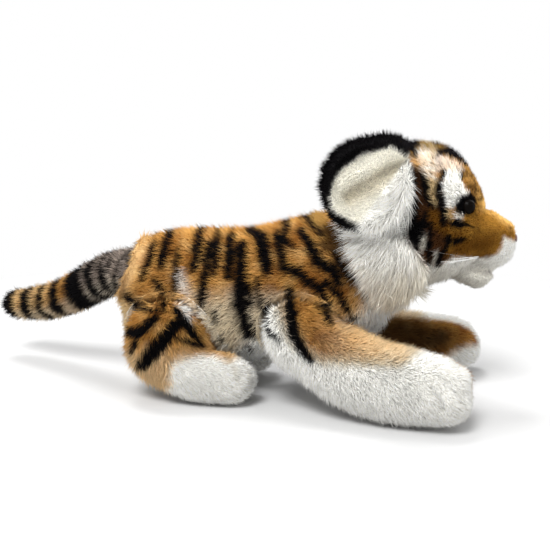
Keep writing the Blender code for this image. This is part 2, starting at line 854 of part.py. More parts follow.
def ear(side, mats, head_carrier):
    name = "ear_" + SIDE_NAMES[side]
    hinge = Vector((EAR_HINGE_X, side * EAR_HINGE_Y, EAR_HINGE_Z))
    axis = Vector((math.sin(EAR_HINGE_LEAN), 0, math.cos(EAR_HINGE_LEAN)))
    carrier = pivot(name + "_pivot", hinge, (0, 0, 0), head_carrier)
    cage = cage_form(name + "_head", head_path(), upright=True)
    grown = swollen_mesh(name + "_head", cage, SEAM_GAP)
    angles = [share * EAR_FLEX for share in SWING_STEPS]
    frame = head_carrier.matrix_world
    cutters = swept_cutters(
        name + "_head", grown, frame, frame @ hinge, frame.to_3x3() @ axis, angles
    )
    look = Vector((
        math.sin(EAR_FACING), side * math.cos(EAR_FACING), math.sin(EAR_TIP_UP)
    )).normalized()
    middle = facing(Vector((EAR_X, side * EAR_Y, EAR_Z)) - hinge, look)
    end = axis * (EAR_ROOT_LENGTH / 2)
    root = rod_mesh(name + "_root", EAR_ROOT_RADIUS, -end, end)
    root_room = cutter(name + "_root_room", rod_mesh(
        name + "_root_room", EAR_ROOT_RADIUS + GAP, end * -2, end * 2
    ), carrier)
    layers = (
        ("ear_back_", EAR_RADIUS, EAR_BACK_THICK, 0, mats[0]),
        ("ear_lining_", EAR_RADIUS - EAR_BACK_THICK, EAR_LINING_THICK, EAR_BACK_THICK + GAP,
         mats[1]),
    )
    for prefix, radius, thick, base, mat in layers:
        outline = ear_profile(radius, EAR_DEPTH, thick, base)
        mesh = turned_mesh(prefix + SIDE_NAMES[side], outline)
        mesh.transform(middle)
        layer = prefix + SIDE_NAMES[side]
        if base:
            cutters = cutters + [root_room]
        mesh = cut_mesh(layer, mesh, cutters, carrier)
        if not base:
            mesh = joined_mesh(layer, mesh, root)
        piece(layer, mesh, mat, carrier)
    room = rod_mesh(name + "_room", EAR_RADIUS + SEAM_GAP, -look * EAR_RADIUS, look * EAR_RADIUS)
    room.transform(Matrix.Translation(Vector((EAR_X, side * EAR_Y, EAR_Z))))
    long_end = end + axis * SEAT_CLEARANCE
    seat = rod_mesh(name + "_seat", (EAR_ROOT_RADIUS + SEAT_CLEARANCE) / FACET, -long_end, long_end)
    return cutter(room.name, room, head_carrier), cutter(seat.name, seat, carrier)


def cheek_ruff(side, mat, carrier, neighbours):
    name = "cheek_ruff_" + SIDE_NAMES[side]
    along = Vector((math.cos(RUFF_TILT), 0, -math.sin(RUFF_TILT)))
    centre = Vector((RUFF_X, side * RUFF_Y, RUFF_Z))
    path = pad_path(centre, along, RUFF_SHARES, RUFF_LENGTH, RUFF_HEIGHT, RUFF_THICK)
    ruff = cut_mesh(name, outer_form(name, path), neighbours, carrier)
    piece(name, ruff, mat, carrier)


def head(mats, gusset_radius):
    carrier = pivot("head_pivot", NECK, (HEAD_ROLL, 0, HEAD_TURN))
    shape = outer_form("head_form", head_path(), upright=True)
    hollow = ball_mesh("neck_hollow", ball_hollow(gusset_radius), CHEST_SEGMENTS)
    neck_hollow = cutter("neck_hollow", hollow, carrier)
    shape = cut_mesh("head_form", shape, [neck_hollow], carrier)
    ear_rooms = {}
    hollows = []
    for side in (RIGHT, LEFT):
        ear_rooms[side], seat = ear(side, mats["ear"], carrier)
        hollows.append(seat)
    head_cutter = cutter("head_room", swollen_mesh("head_room", shape, SEAM_GAP), carrier)
    for side in (RIGHT, LEFT):
        neighbours = (head_cutter, ear_rooms[side], neck_hollow)
        cheek_ruff(side, mats["white"], carrier, neighbours)

    forward = Vector((1, 0, 0))
    centre = Vector((MUZZLE_X, 0, MUZZLE_Z))
    path = pad_path(centre, forward, PAD_SHARES, MUZZLE_LENGTH, MUZZLE_HEIGHT, MUZZLE_WIDTH)
    muzzle_mesh = outer_form("muzzle", path)
    seated = cut_mesh("muzzle", muzzle_mesh, [head_cutter], carrier)
    piece("muzzle", seated, mats["gold"], carrier)
    muzzle_room = cutter("muzzle_room", swollen_mesh("muzzle_room", muzzle_mesh, GAP), carrier)

    path = pad_path(Vector((CHIN_X, 0, CHIN_Z)), forward, PAD_SHARES, CHIN_LENGTH, CHIN_HEIGHT,
                    CHIN_WIDTH)
    chin = cut_mesh("chin", outer_form("chin", path), [head_cutter, muzzle_room], carrier)
    piece("chin", chin, mats["white"], carrier)

    tip, _ = seat_on(muzzle_mesh, Vector((MUZZLE_X, 0, NOSE_Z)), forward)
    path = pad_path(tip, forward, PAD_SHARES, NOSE_DEPTH, NOSE_HEIGHT, NOSE_WIDTH)
    nose = cut_mesh("nose", outer_form("nose", path), [muzzle_room], carrier)
    piece("nose", nose, mats["nose"], carrier)

    for side in (RIGHT, LEFT):
        hollows += safety_eye(side, mats["eye"], carrier, shape)
        whiskers(side, mats["whisker"], carrier, muzzle_mesh)
    inner = inner_form("head_hollow", head_path(), SKIN, upright=True)
    skin = cut_mesh("head_skin", shape, [cutter("head_hollow", inner, carrier)] + hollows, carrier)
    piece("head_skin", skin, mats["orange"], carrier)
    core = inner_form("head_core", head_path(), SKIN + STUFFING_GAP, upright=True)
    core = cut_mesh("head_stuffing", core, [neck_hollow] + hollows, carrier)
    piece("head_stuffing", core, mats["stuffing"], carrier)


def main():
    orange = material("orange_plush", (0.56, 0.28, 0.08), 0.95)
    gold = material("golden_plush", (0.42, 0.20, 0.04), 0.95)
    white = material("white_plush", (0.86, 0.84, 0.78), 0.95)
    black = material("black_plush", (0.012, 0.011, 0.010), 0.95)
    cream = material("cream_plush", (0.68, 0.64, 0.52), 0.95)
    filling = material("polyester_stuffing", (0.80, 0.80, 0.78), 1.0)
    eye = material("eye_plastic", (0.02, 0.012, 0.006), 0.15)
    washer = material("washer_plastic", (0.70, 0.70, 0.68), 0.55)
    nose = material("nose_plush", (0.10, 0.05, 0.045), 0.8)
    filament = material("whisker_filament", (0.85, 0.85, 0.83), 0.4)

    body = body_form("body_outline")
    floor = floor_cutter()
    limb_mats = (orange, white, filling)
    sockets = []
    for side in (RIGHT, LEFT):
        sockets.append(front_leg(side, limb_mats, body, floor))
        sockets.append(hind_leg(side, limb_mats, body, floor))
    sockets.append(tail((orange, black, filling), floor))
    torso((orange, filling), sockets, floor)
    neck_pivot = pivot("neck_pivot", NECK)
    gusset_radius = neck((orange,), neck_pivot)
    head({
        "orange": orange, "gold": gold, "white": white, "ear": (black, cream),
        "eye": (eye, washer), "nose": nose, "whisker": filament, "stuffing": filling,
    }, gusset_radius)


clear_scene()
PARTS = collection("plush_tiger")
CUTTERS = collection("cutters")
main()
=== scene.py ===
import json
import math

import bmesh
import bpy
import numpy as np
from mathutils import Euler, Matrix, Vector, noise
from mathutils.bvhtree import BVHTree
from mathutils.kdtree import KDTree


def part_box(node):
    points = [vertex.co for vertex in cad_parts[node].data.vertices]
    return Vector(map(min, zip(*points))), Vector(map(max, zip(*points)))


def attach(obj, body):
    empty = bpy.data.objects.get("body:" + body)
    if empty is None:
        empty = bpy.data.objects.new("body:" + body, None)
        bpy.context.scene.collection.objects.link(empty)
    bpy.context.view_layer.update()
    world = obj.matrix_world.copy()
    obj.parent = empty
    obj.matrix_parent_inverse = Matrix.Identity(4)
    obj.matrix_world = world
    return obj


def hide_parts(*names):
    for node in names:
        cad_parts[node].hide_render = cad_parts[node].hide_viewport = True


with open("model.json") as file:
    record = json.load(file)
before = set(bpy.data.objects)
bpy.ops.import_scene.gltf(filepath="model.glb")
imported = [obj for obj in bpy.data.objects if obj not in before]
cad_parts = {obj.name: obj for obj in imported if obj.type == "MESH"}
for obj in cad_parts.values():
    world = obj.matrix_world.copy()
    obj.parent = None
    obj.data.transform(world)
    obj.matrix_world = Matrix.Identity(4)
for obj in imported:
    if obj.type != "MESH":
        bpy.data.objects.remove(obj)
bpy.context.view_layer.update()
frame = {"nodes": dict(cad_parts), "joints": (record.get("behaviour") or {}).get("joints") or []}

# The camera, and the side of the square picture that every pixel place below is in.
PICTURE = 550
CAMERA_AT = Vector((0.2944, -1.1818, 0.35))
CAMERA_TILT = math.radians(78.69)
CAMERA_TURN = math.radians(10.0)
LENS = 87.25
FILM = 36.0

# The head's own frame: the neck's centre, and how the head is turned and rolled at rest.
NECK = Vector((0.135, 0.0, 0.108))
HEAD_TURN = Euler((math.radians(-6.0), 0.0, math.radians(2.0)), "XYZ")
HEAD_FRAME = Matrix.Translation(NECK) @ HEAD_TURN.to_matrix().to_4x4()
BODY_FRAME = Matrix.Identity(4)
SIDES = ("right", "left")
SIDE_SIGNS = (("right", -1), ("left", 1))

# How much of a metre one pixel covers at the toy.
PIXEL = 0.0009

# How fine the skins are.
VOXEL = 0.0022
FINE_VOXEL = 0.0015
WHOLE_VOXEL = 0.003
PAD_VOXEL = 0.005
FLOOR_CLEARANCE = 0.0004

# Stuffing: how far the cloth starts inside its shape, how far it may swell, its pressure, and the
# frames it settles in.
PAD_START = 0.0015
PAD_SWELL = 0.003
PAD_PRESSURE = 4.0
PAD_FRAMES = 20

# The crease between two parts is brought out by this much at most, and not where it is far inside.
CREASE_FILL = 0.010
CREASE_FAR = (0.016, 0.045)

# A wall that is this deep in a crease, and doesn't face outward, grows no pile. Nor does a skin that is
# this deep inside another, or the face of a part that lies on the ground up to this height.
WALL_DEPTH = 0.014
BURIED_DEPTH = 0.004
GROUND_HEIGHT = 0.003

# How far each cloth lies inside its solids. The muzzle's pile is short, so its cloth lies at the outside,
# from the first to the second of the two places along X.
TORSO_INSET = 0.0045
TAIL_INSET = 0.0035
FRONT_INSET = 0.004
HIND_INSET = 0.0035
THIN_INSET = 0.001
HEAD_INSET = 0.0034
MUZZLE_OUT = 0.0046
MUZZLE_EDGE = (0.262, 0.286)

# The pile: strands per square metre, how wide a strand is, how steeply it stands off the cloth in
# degrees, and how long it is.
STRANDS = 1.15e6
HEAD_STRANDS = 1.35e6
EAR_STRANDS = 1.2e6
CHEEK_STRANDS = 1.2e6
NECK_STRANDS = 0.6e6
STRAND_WIDTH = 0.00078
HEAD_STRAND_WIDTH = 0.0007
CHEEK_STRAND_WIDTH = 0.0009
TORSO_LIFT, TORSO_PILE, CHEST_LONGER = 36.0, 0.010, 0.005
NECK_LIFT, NECK_PILE = 34.0, 0.010
TAIL_LIFT, TAIL_PILE = 36.0, 0.009
LEG_LIFT, LEG_PILE, PAW_SHORTER = 38.0, 0.010, 0.0035
HEAD_LIFT, HEAD_PILE = 44.0, 0.0082
SNOUT_FLATTER, SNOUT_SHORTER, LASH_LONGER = 14.0, 0.0042, 0.003
RUFF_LIFT, RUFF_LONGER = 26.0, 0.003
EAR_LIFT, EAR_PILE = 38.0, 0.0075
LINING_FLATTER, LINING_SHORTER, LOBE_LONGER = 8.0, 0.0035, 0.015

# Where along X the pile of the rump meets that of the shoulder.
WAIST = 0.06

# The white chest starts at a slanting plane: its slope, a height on it, and its soft edge along X.
CHEST_SLOPE, CHEST_HEIGHT = 0.6, 0.11
CHEST_EDGE = (0.172, 0.190)

# Where a front leg starts and ends on the left side.
SHOULDER = (0.118, 0.047, 0.066)
TOE = (0.262, 0.096, 0.02)

# Pressed lines: how deep and how wide.
TOE_PRESS, FOOT_PRESS, TOE_PRESS_WIDTH = 0.0045, 0.0015, 0.003
MOUTH_PRESS, MOUTH_PRESS_WIDTH = 0.0016, 0.002

# The studio: how wide the floor is, its greys, where it turns to plain white round the toy, how bright the
# white surroundings are, and the lamps: where each stands, how wide it looks, and its strength.
FLOOR_SIZE = 8.0
FLOOR_DARK, FLOOR_PALE = (0.56, 0.56, 0.56), (0.59, 0.59, 0.59)
TOY_MIDDLE = (0.06, 0.0, 0.0)
WHITE_FROM, WHITE_TO = 0.36, 0.62
PLAIN_WHITE = (1.0, 1.0, 1.0, 1.0)
WORLD_LIGHT = 0.86
LAMPS = (
    ("lamp_above", (-0.4, 0.6, 1.6), 20.0, 1.5),
    ("lamp_front", (-0.2, -1.3, 1.6), 24.0, 3.1),
)


def linear(red, green, blue):
    """A colour as it is seen, 0 to 255, turned into the light that a shader works in."""
    def one(value):
        share = value / 255
        return share / 12.92 if share <= 0.04045 else ((share + 0.055) / 1.055) ** 2.4
    return one(red), one(green), one(blue)


ORANGE = linear(213, 160, 86)
RUST = linear(158, 102, 44)
AMBER = linear(226, 182, 116)
SAND = linear(230, 202, 152)
TAN = linear(244, 214, 168)
MILK = linear(253, 252, 247)
OAT = linear(224, 213, 190)
DUN = linear(200, 184, 156)
ASH = linear(232, 228, 216)
CREAM = linear(247, 244, 232)
SHELL = linear(206, 194, 164)
BLUSH = linear(236, 214, 184)
GOLD = linear(196, 144, 60)
HONEY = linear(218, 176, 104)
BRONZE = linear(128, 84, 26)
OLIVE = linear(150, 122, 66)
FAWN = linear(172, 130, 70)
UMBER = linear(62, 38, 18)
COCOA = linear(84, 52, 28)
SMOKE = linear(160, 152, 146)
INK = linear(12, 10, 12)


class Wire:
    """An output of a node. Sums on it add the Math nodes that work them out."""

    def __init__(self, bench, socket):
        self.bench = bench
        self.socket = socket

    def sum(self, operation, first, second):
        return self.bench.node("ShaderNodeMath", {"operation": operation}, {0: first, 1: second})

    def __add__(self, other):
        return self.sum("ADD", self, other)

    def __radd__(self, other):
        return self.sum("ADD", other, self)

    def __sub__(self, other):
        return self.sum("SUBTRACT", self, other)

    def __rsub__(self, other):
        return self.sum("SUBTRACT", other, self)

    def __mul__(self, other):
        return self.sum("MULTIPLY", self, other)

    def __truediv__(self, other):
        return self.sum("DIVIDE", self, other)

    def __rtruediv__(self, other):
        return self.sum("DIVIDE", other, self)


class Bench:
    """A node tree that nodes are added to, settings first and then sockets."""

    def __init__(self, tree):
        self.tree = tree

    def node(self, kind, settings=None, sockets=None, out=0):
        made = self.tree.nodes.new(kind)
        for name, value in (settings or {}).items():
            setattr(made, name, value)
        for name, value in (sockets or {}).items():
            if isinstance(value, Wire):
                self.tree.links.new(value.socket, made.inputs[name])
            else:
                made.inputs[name].default_value = value
        return Wire(self, made.outputs[out]) if made.outputs else None

    def mix(self, share, first, second):
        """A colour between two colours."""
        sockets = {0: share, 6: (*first, 1.0), 7: (*second, 1.0)}
        return self.node("ShaderNodeMix", {"data_type": "RGBA"}, sockets, out=2)

    def scaled(self, colour, share):
        """A colour made darker or lighter by a number that varies."""
        sockets = {0: colour, "Scale": share}
        return self.node("ShaderNodeVectorMath", {"operation": "SCALE"}, sockets)

    def noise(self, scale, detail=2.0):
        place = self.node("ShaderNodeTexCoord", out="Object")
        return self.node("ShaderNodeTexNoise", {}, {"Vector": place, "Scale": scale, "Detail": detail})

    def bumped(self, height, strength, depth):
        sockets = {"Strength": strength, "Distance": depth, "Height": height}
        return self.node("ShaderNodeBump", {}, sockets)

    def attribute(self, name, out="Fac"):
        return self.node("ShaderNodeAttribute", {"attribute_name": name}, out=out)


def finish_of(name):
    """A new material with an empty Principled surface, and its bench."""
    material = bpy.data.materials.new(name)
    material.use_nodes = True
    material.node_tree.nodes.clear()
    return material, Bench(material.node_tree)


def surfaced(bench, **sockets):
    named = {name.replace("_", " "): value for name, value in sockets.items()}
    shader = bench.node("ShaderNodeBsdfPrincipled", {}, named)
    bench.node("ShaderNodeOutputMaterial", {}, {"Surface": shader})


def plush_pile():
    """Dyed pile: a strand takes its colour from the attribute coat, and is darker at the root and lighter at
    the tip, partly as the fur's own two tones and partly as painted shade deep in the pile.
    """
    material, bench = finish_of("plush_pile")
    coat = bench.attribute("coat", out="Color")
    along = bench.attribute("along")
    shade = bench.attribute("shade")
    drift = bench.noise(scale=45.0, detail=3.0)
    # Painted shade: the root is darker, less so for pale colours.
    root = 0.56 + bench.node("ShaderNodeRGBToBW", {}, {"Color": coat}) * 0.38
    level = root + along * (1.14 - root)
    level = level * (0.8 + shade * 0.4)
    level = level * (0.86 + drift * 0.28)
    colour = bench.scaled(coat, level)
    surfaced(bench, Base_Color=colour, Roughness=0.74 + shade * 0.16, Specular_IOR_Level=0.06)
    return material


def backing_cloth():
    """The knitted cloth that the pile grows from, coloured as the pile is, and darker as painted shade under
    the pile.
    """
    material, bench = finish_of("backing_cloth")
    coat = bench.attribute("coat", out="Color")
    knit = bench.noise(scale=900.0, detail=2.0)
    drift = bench.noise(scale=60.0, detail=3.0)
    colour = bench.scaled(coat, (0.82 + drift * 0.16) * (0.9 + knit * 0.2))
    bump = bench.bumped(knit, 0.4, 0.0006)
    surfaced(bench, Base_Color=colour, Roughness=0.8 + drift * 0.15, Normal=bump, Specular_IOR_Level=0.2)
    return material


# Plain finishes: how fine the cloud is and its detail, the two colours that it mixes, how rough the surface
# is and how much that varies, how strong and how deep the bump is, and what else the finish has.
FINISHES = {
    "eye_plastic_black": (
        160.0, 2.0, linear(4, 3, 3), linear(14, 9, 6), 0.2, 0.08, (0.05, 0.0002), {"IOR": 1.1}),
    "washer_plastic_white": (
        220.0, 2.0, linear(214, 214, 210), linear(236, 236, 232), 0.4, 0.15, (0.15, 0.0002), {}),
    "nose_velour": (
        500.0, 4.0, linear(58, 34, 34), linear(104, 68, 62), 0.65, 0.2, (0.5, 0.0004), {"Sheen_Weight": 0.3}),
    "whisker_filament_clear": (
        300.0, 2.0, linear(236, 236, 234), linear(255, 255, 253), 0.22, 0.12, None, {}),
}


def plain_finish(name):
    scale, detail, dark, pale, rough, rough_range, bump, more = FINISHES[name]
    material, bench = finish_of(name)
    cloud = bench.noise(scale, detail)
    if bump:
        more = {"Normal": bench.bumped(cloud, *bump), **more}
    surfaced(bench, Base_Color=bench.mix(cloud, dark, pale), Roughness=rough + cloud * rough_range, **more)
    return material


def linked(name, mesh, material):
    made = bpy.data.objects.new(name, mesh)
    bpy.context.scene.collection.objects.link(made)
    mesh.materials.clear()
    mesh.materials.append(material)
    return made


def evaluated(obj):
    """The mesh that an object's modifiers make, with the object itself thrown away."""
    graph = bpy.context.evaluated_depsgraph_get()
    mesh = bpy.data.meshes.new_from_object(obj.evaluated_get(graph))
    bpy.data.objects.remove(obj)
    return mesh


def remeshed(name, nodes, voxel):
    """One closed skin round copies of the named CAD nodes."""
    joined = bmesh.new()
    for node in nodes:
        joined.from_mesh(frame["nodes"][node].data)
    bmesh.ops.remove_doubles(joined, verts=joined.verts, dist=0.00001)
    mesh = bpy.data.meshes.new(name)
    joined.to_mesh(mesh)
    joined.free()
    rough = bpy.data.objects.new(name, mesh)
    bpy.context.scene.collection.objects.link(rough)
    skin = rough.modifiers.new("skin", "REMESH")
    skin.mode = "VOXEL"
    skin.voxel_size = voxel
    return evaluated(rough)


def outer_shell(mesh):
    """Keeps the largest of a mesh's separate shells."""
    made = bmesh.new()
    made.from_mesh(mesh)
    made.verts.ensure_lookup_table()
    unseen = set(made.verts)
    shells = []
    while unseen:
        shell = []
        stack = [unseen.pop()]
        while stack:
            vert = stack.pop()
            shell.append(vert)
            for edge in vert.link_edges:
                other = edge.other_vert(vert)
                if other in unseen:
                    unseen.remove(other)
                    stack.append(other)
        shells.append(shell)
    shells.sort(key=len)
    for shell in shells[:-1]:
        bmesh.ops.delete(made, geom=shell, context="VERTS")
    made.to_mesh(mesh)
    made.free()


def places(mesh):
    flat = np.empty(len(mesh.vertices) * 3, np.float32)
    mesh.vertices.foreach_get("co", flat)
    return flat.reshape(-1, 3).astype(float)


def normals(mesh):
    flat = np.empty(len(mesh.vertices) * 3, np.float32)
    mesh.vertex_normals.foreach_get("vector", flat)
    return flat.reshape(-1, 3).astype(float)


def moved(mesh, points):
    mesh.vertices.foreach_set("co", np.asarray(points, np.float32).ravel())
    mesh.update()


def eased(mesh, rounds):
    """Laplacian smoothing: each point goes half of the way to the mean of its neighbours."""
    ends = np.empty(len(mesh.edges) * 2, np.int32)
    mesh.edges.foreach_get("vertices", ends)
    first, second = ends.reshape(-1, 2).T
    points = places(mesh)
    count = np.bincount(np.concatenate((first, second)), minlength=len(points))[:, None]
    for _ in range(rounds):
        total = np.zeros_like(points)
        np.add.at(total, first, points[second])
        np.add.at(total, second, points[first])
        points = points + (total / np.maximum(count, 1) - points) * 0.5
    moved(mesh, points)


def stuffed(name, nodes, points):
    """Points of a skin after its stuffing: a cloth in the same shape is blown up and takes them along."""
    mesh = remeshed(name, nodes, PAD_VOXEL)
    outer_shell(mesh)
    eased(mesh, 2)
    rest, outward = places(mesh), normals(mesh)
    moved(mesh, rest - outward * PAD_START)
    pad = bpy.data.objects.new(name, mesh)
    bpy.context.scene.collection.objects.link(pad)
    cloth = pad.modifiers.new("stuffing", "CLOTH")
    cloth.settings.quality = 4
    cloth.settings.use_pressure = True
    cloth.settings.uniform_pressure_force = PAD_PRESSURE
    cloth.settings.effector_weights.gravity = 0.0
    cloth.point_cache.frame_end = PAD_FRAMES
    for number in range(1, PAD_FRAMES + 1):
        bpy.context.scene.frame_set(number)
    swollen = evaluated(pad)
    shift = places(swollen) - rest
    bpy.data.meshes.remove(swollen)
    bpy.context.scene.frame_set(1)
    far = np.maximum(np.linalg.norm(shift, axis=1), 1e-9)[:, None]
    shift = shift * np.minimum(1.0, PAD_SWELL / far)
    near = KDTree(len(rest))
    for number, point in enumerate(rest):
        near.insert(point, number)
    near.balance()
    moved_on = np.empty_like(points)
    for number, point in enumerate(points):
        found = near.find_n(point, 4)
        share = np.array([1 / (hit[2] + 0.001) for hit in found])
        moved_on[number] = share @ shift[[hit[1] for hit in found]] / share.sum()
    return points + moved_on


def filled(points, whole):
    """Points brought out towards a smooth skin round all the parts. All that is near to a place goes the
    same way by about the same amount, so what lies side by side stays so. Also how deep each point was, and
    that skin's outward way."""
    found = [whole.find_nearest(Vector(p))[:2] for p in points]
    spots, facing = np.array([f[0] for f in found]), np.array([f[1] for f in found])
    rise = np.sum((spots - points) * facing, axis=1)
    lift = CREASE_FILL * (1 - np.exp(-np.maximum(rise, 0) / CREASE_FILL)) * (1 - ramp(rise, *CREASE_FAR))
    return points + facing * lift[:, None], rise, facing


def pelt_form(name, nodes, inset, whole, voxel, rounds):
    """A skin that lies the depth of the pile inside its solids, where the outside of the pile is, and 0 for
    the places that grow no pile."""
    mesh = remeshed(name, nodes, voxel)
    outer_shell(mesh)
    eased(mesh, rounds)
    outer = places(mesh)
    thick = np.ones(len(outer))
    if whole:
        outer, rise, facing = filled(stuffed(name + "_pad", nodes, outer), whole)
        moved(mesh, outer)
        eased(mesh, 3)
        outer = places(mesh)
        thick[(rise > WALL_DEPTH) & (np.sum(normals(mesh) * facing, axis=1) < 0.0)] = 0.0
    depth = inset(outer) if callable(inset) else np.full(len(outer), inset)
    moved(mesh, outer - normals(mesh) * depth[:, None])
    eased(mesh, 3)
    points = places(mesh)
    for array in (points, outer):
        array[:, 2] = np.maximum(array[:, 2], FLOOR_CLEARANCE)
    moved(mesh, points)
    for polygon in mesh.polygons:
        polygon.use_smooth = True
    return mesh, outer, thick


def tree_of(mesh, points=None):
    """A search tree of a mesh's faces, with its points where they are or somewhere else."""
    spots = [Vector(p) for p in (places(mesh) if points is None else points)]
    return BVHTree.FromPolygons(spots, [tuple(p.vertices) for p in mesh.polygons])


CAMERA_AIM = Euler((CAMERA_TILT, 0.0, CAMERA_TURN), "XYZ")
CAMERA_WORLD = Matrix.Translation(CAMERA_AT) @ CAMERA_AIM.to_matrix().to_4x4()
FOCAL = LENS / FILM * PICTURE

# Where along a line of sight the closest place to a skin is looked for.
SIGHT_START, SIGHT_STEP, SIGHT_STEPS = 1.02, 0.007, 60


def ray_through(u, v):
    """The direction in which the camera sees a pixel."""
    ray = Vector(((u - PICTURE / 2) / FOCAL, (PICTURE / 2 - v) / FOCAL, -1.0))
    return (CAMERA_WORLD.to_3x3() @ ray).normalized()


def pixels_of(points):
    """Where the camera sees each of an array of points."""
    seen = (np.asarray(points) - np.array(CAMERA_AT)) @ np.array(CAMERA_WORLD.to_3x3())
    across, up = FOCAL * seen[:, 0] / -seen[:, 2], FOCAL * seen[:, 1] / -seen[:, 2]
    return np.stack((PICTURE / 2 + across, PICTURE / 2 - up), 1)


def lifted(trees, u, v):
    """The place on the nearest of some skins that the camera sees at a pixel, or else the closest place to
    that line of sight."""
    ray = ray_through(u, v)
    hits = [tree.ray_cast(CAMERA_AT, ray) for tree in trees]
    hits = [hit for hit in hits if hit[0] is not None]
    if not hits:
        spots = [CAMERA_AT + ray * (SIGHT_START + step * SIGHT_STEP) for step in range(SIGHT_STEPS)]
        hits = [tree.find_nearest(spot) for spot in spots for tree in trees]
    return min(hits, key=lambda hit: hit[3])[0]


def lifted_stroke(trees, stroke, spine=None):
    """A painted line on the picture, laid on the skins: an array of rows x, y, z, width. Where a spine is
    given, the line goes on to the top of the back."""
    width, *line = stroke
    steps = []
    for (u0, v0), (u1, v1) in zip(line, line[1:]):
        count = max(1, int(math.hypot(u1 - u0, v1 - v0) / 5))
        steps += [(u0 + (u1 - u0) * i / count, v0 + (v1 - v0) * i / count) for i in range(count)]
    steps.append(line[-1])
    rows = []
    for number, (u, v) in enumerate(steps):
        share = number / max(1, len(steps) - 1)
        taper = 1.0 if len(steps) < 3 else 0.45 + 0.55 * math.sin(math.pi * (0.12 + 0.76 * share)) ** 0.6
        spot = lifted(trees, u, v)
        rows.append((*spot, width * PIXEL * taper))
    if spine:
        top = spine.ray_cast(Vector((rows[0][0] - 0.002, 0.0, 0.4)), Vector((0, 0, -1)))[0]
        if top is not None:
            between = (top + Vector(rows[0][:3])) / 2 + Vector((0, 0, 0.006))
            width = rows[0][3] * 0.8
            rows = [(*top, width), (*between, width)] + rows
    return np.array(rows)


def lifted_band(tree, band):
    """A painted line on the head, laid on its skin from inside: an array of rows x, y, z, width."""
    width, *line = band
    middle = HEAD_FRAME @ HEAD_MIDDLE
    rows = []
    for (turn0, rise0), (turn1, rise1) in zip(line, line[1:]):
        for share in (0.0, 0.25, 0.5, 0.75, 1.0):
            turn = math.radians(turn0 + (turn1 - turn0) * share)
            rise = math.radians(rise0 + (rise1 - rise0) * share)
            way = Vector((math.cos(turn) * math.cos(rise), math.sin(turn) * math.cos(rise), math.sin(rise)))
            spot = tree.ray_cast(middle, (HEAD_FRAME.to_3x3() @ way).normalized())[0]
            rows.append((*spot, width * PIXEL))
    return np.array(rows)


def reach_to(points, rows):
    """How far each point is outside a laid stroke, in metres: below zero is inside it."""
    best = np.full(len(points), 9.0)
    for first, second in zip(rows, rows[1:]):
        line = second[:3] - first[:3]
        share = np.clip(((points - first[:3]) @ line) / max(line @ line, 1e-12), 0, 1)
        gap = np.linalg.norm(points - first[:3] - share[:, None] * line, axis=1)
        best = np.minimum(best, gap - (first[3] + (second[3] - first[3]) * share) / 2)
    return best


def mirrored(points, own_frame):
    """Points on the other side of a body's middle plane."""
    away = np.array(own_frame.inverted())
    back = np.array(own_frame)
    local = points @ away[:3, :3].T + away[:3, 3]
    local[:, 1] *= -1
    return local @ back[:3, :3].T + back[:3, 3]


def mirrored_rows(rows, own_frame):
    """A laid stroke on the other side of a body's middle plane."""
    return np.hstack((mirrored(rows[:, :3], own_frame), rows[:, 3:]))


def ragged(points, scale, strength):
    """A smooth random number at each point."""
    return np.array([noise.noise(Vector(p) * scale) for p in points]) * strength


def dyed_and_shaded(coat, mask, colour):
    share = np.broadcast_to(np.clip(mask, 0, 1), len(coat))[:, None]
    return coat + (np.array(colour) - coat) * share


def ramp(value, low, high):
    share = np.clip((value - low) / (high - low), 0, 1)
    return share * share * (3 - 2 * share)


def painted(coat, points, strokes, colour, own_frame, soft, rough=0.0):
    """Colours what lies on the strokes, and on their mirror images: dye for stripes and marks, painted shade
    for creases.
    """
    others = mirrored(points, own_frame)
    gaps = [reach_to(some, rows) for rows in strokes for some in (points, others)]
    return dyed_and_shaded(coat, 0.5 - (np.minimum.reduce(gaps) + rough) / soft, colour)


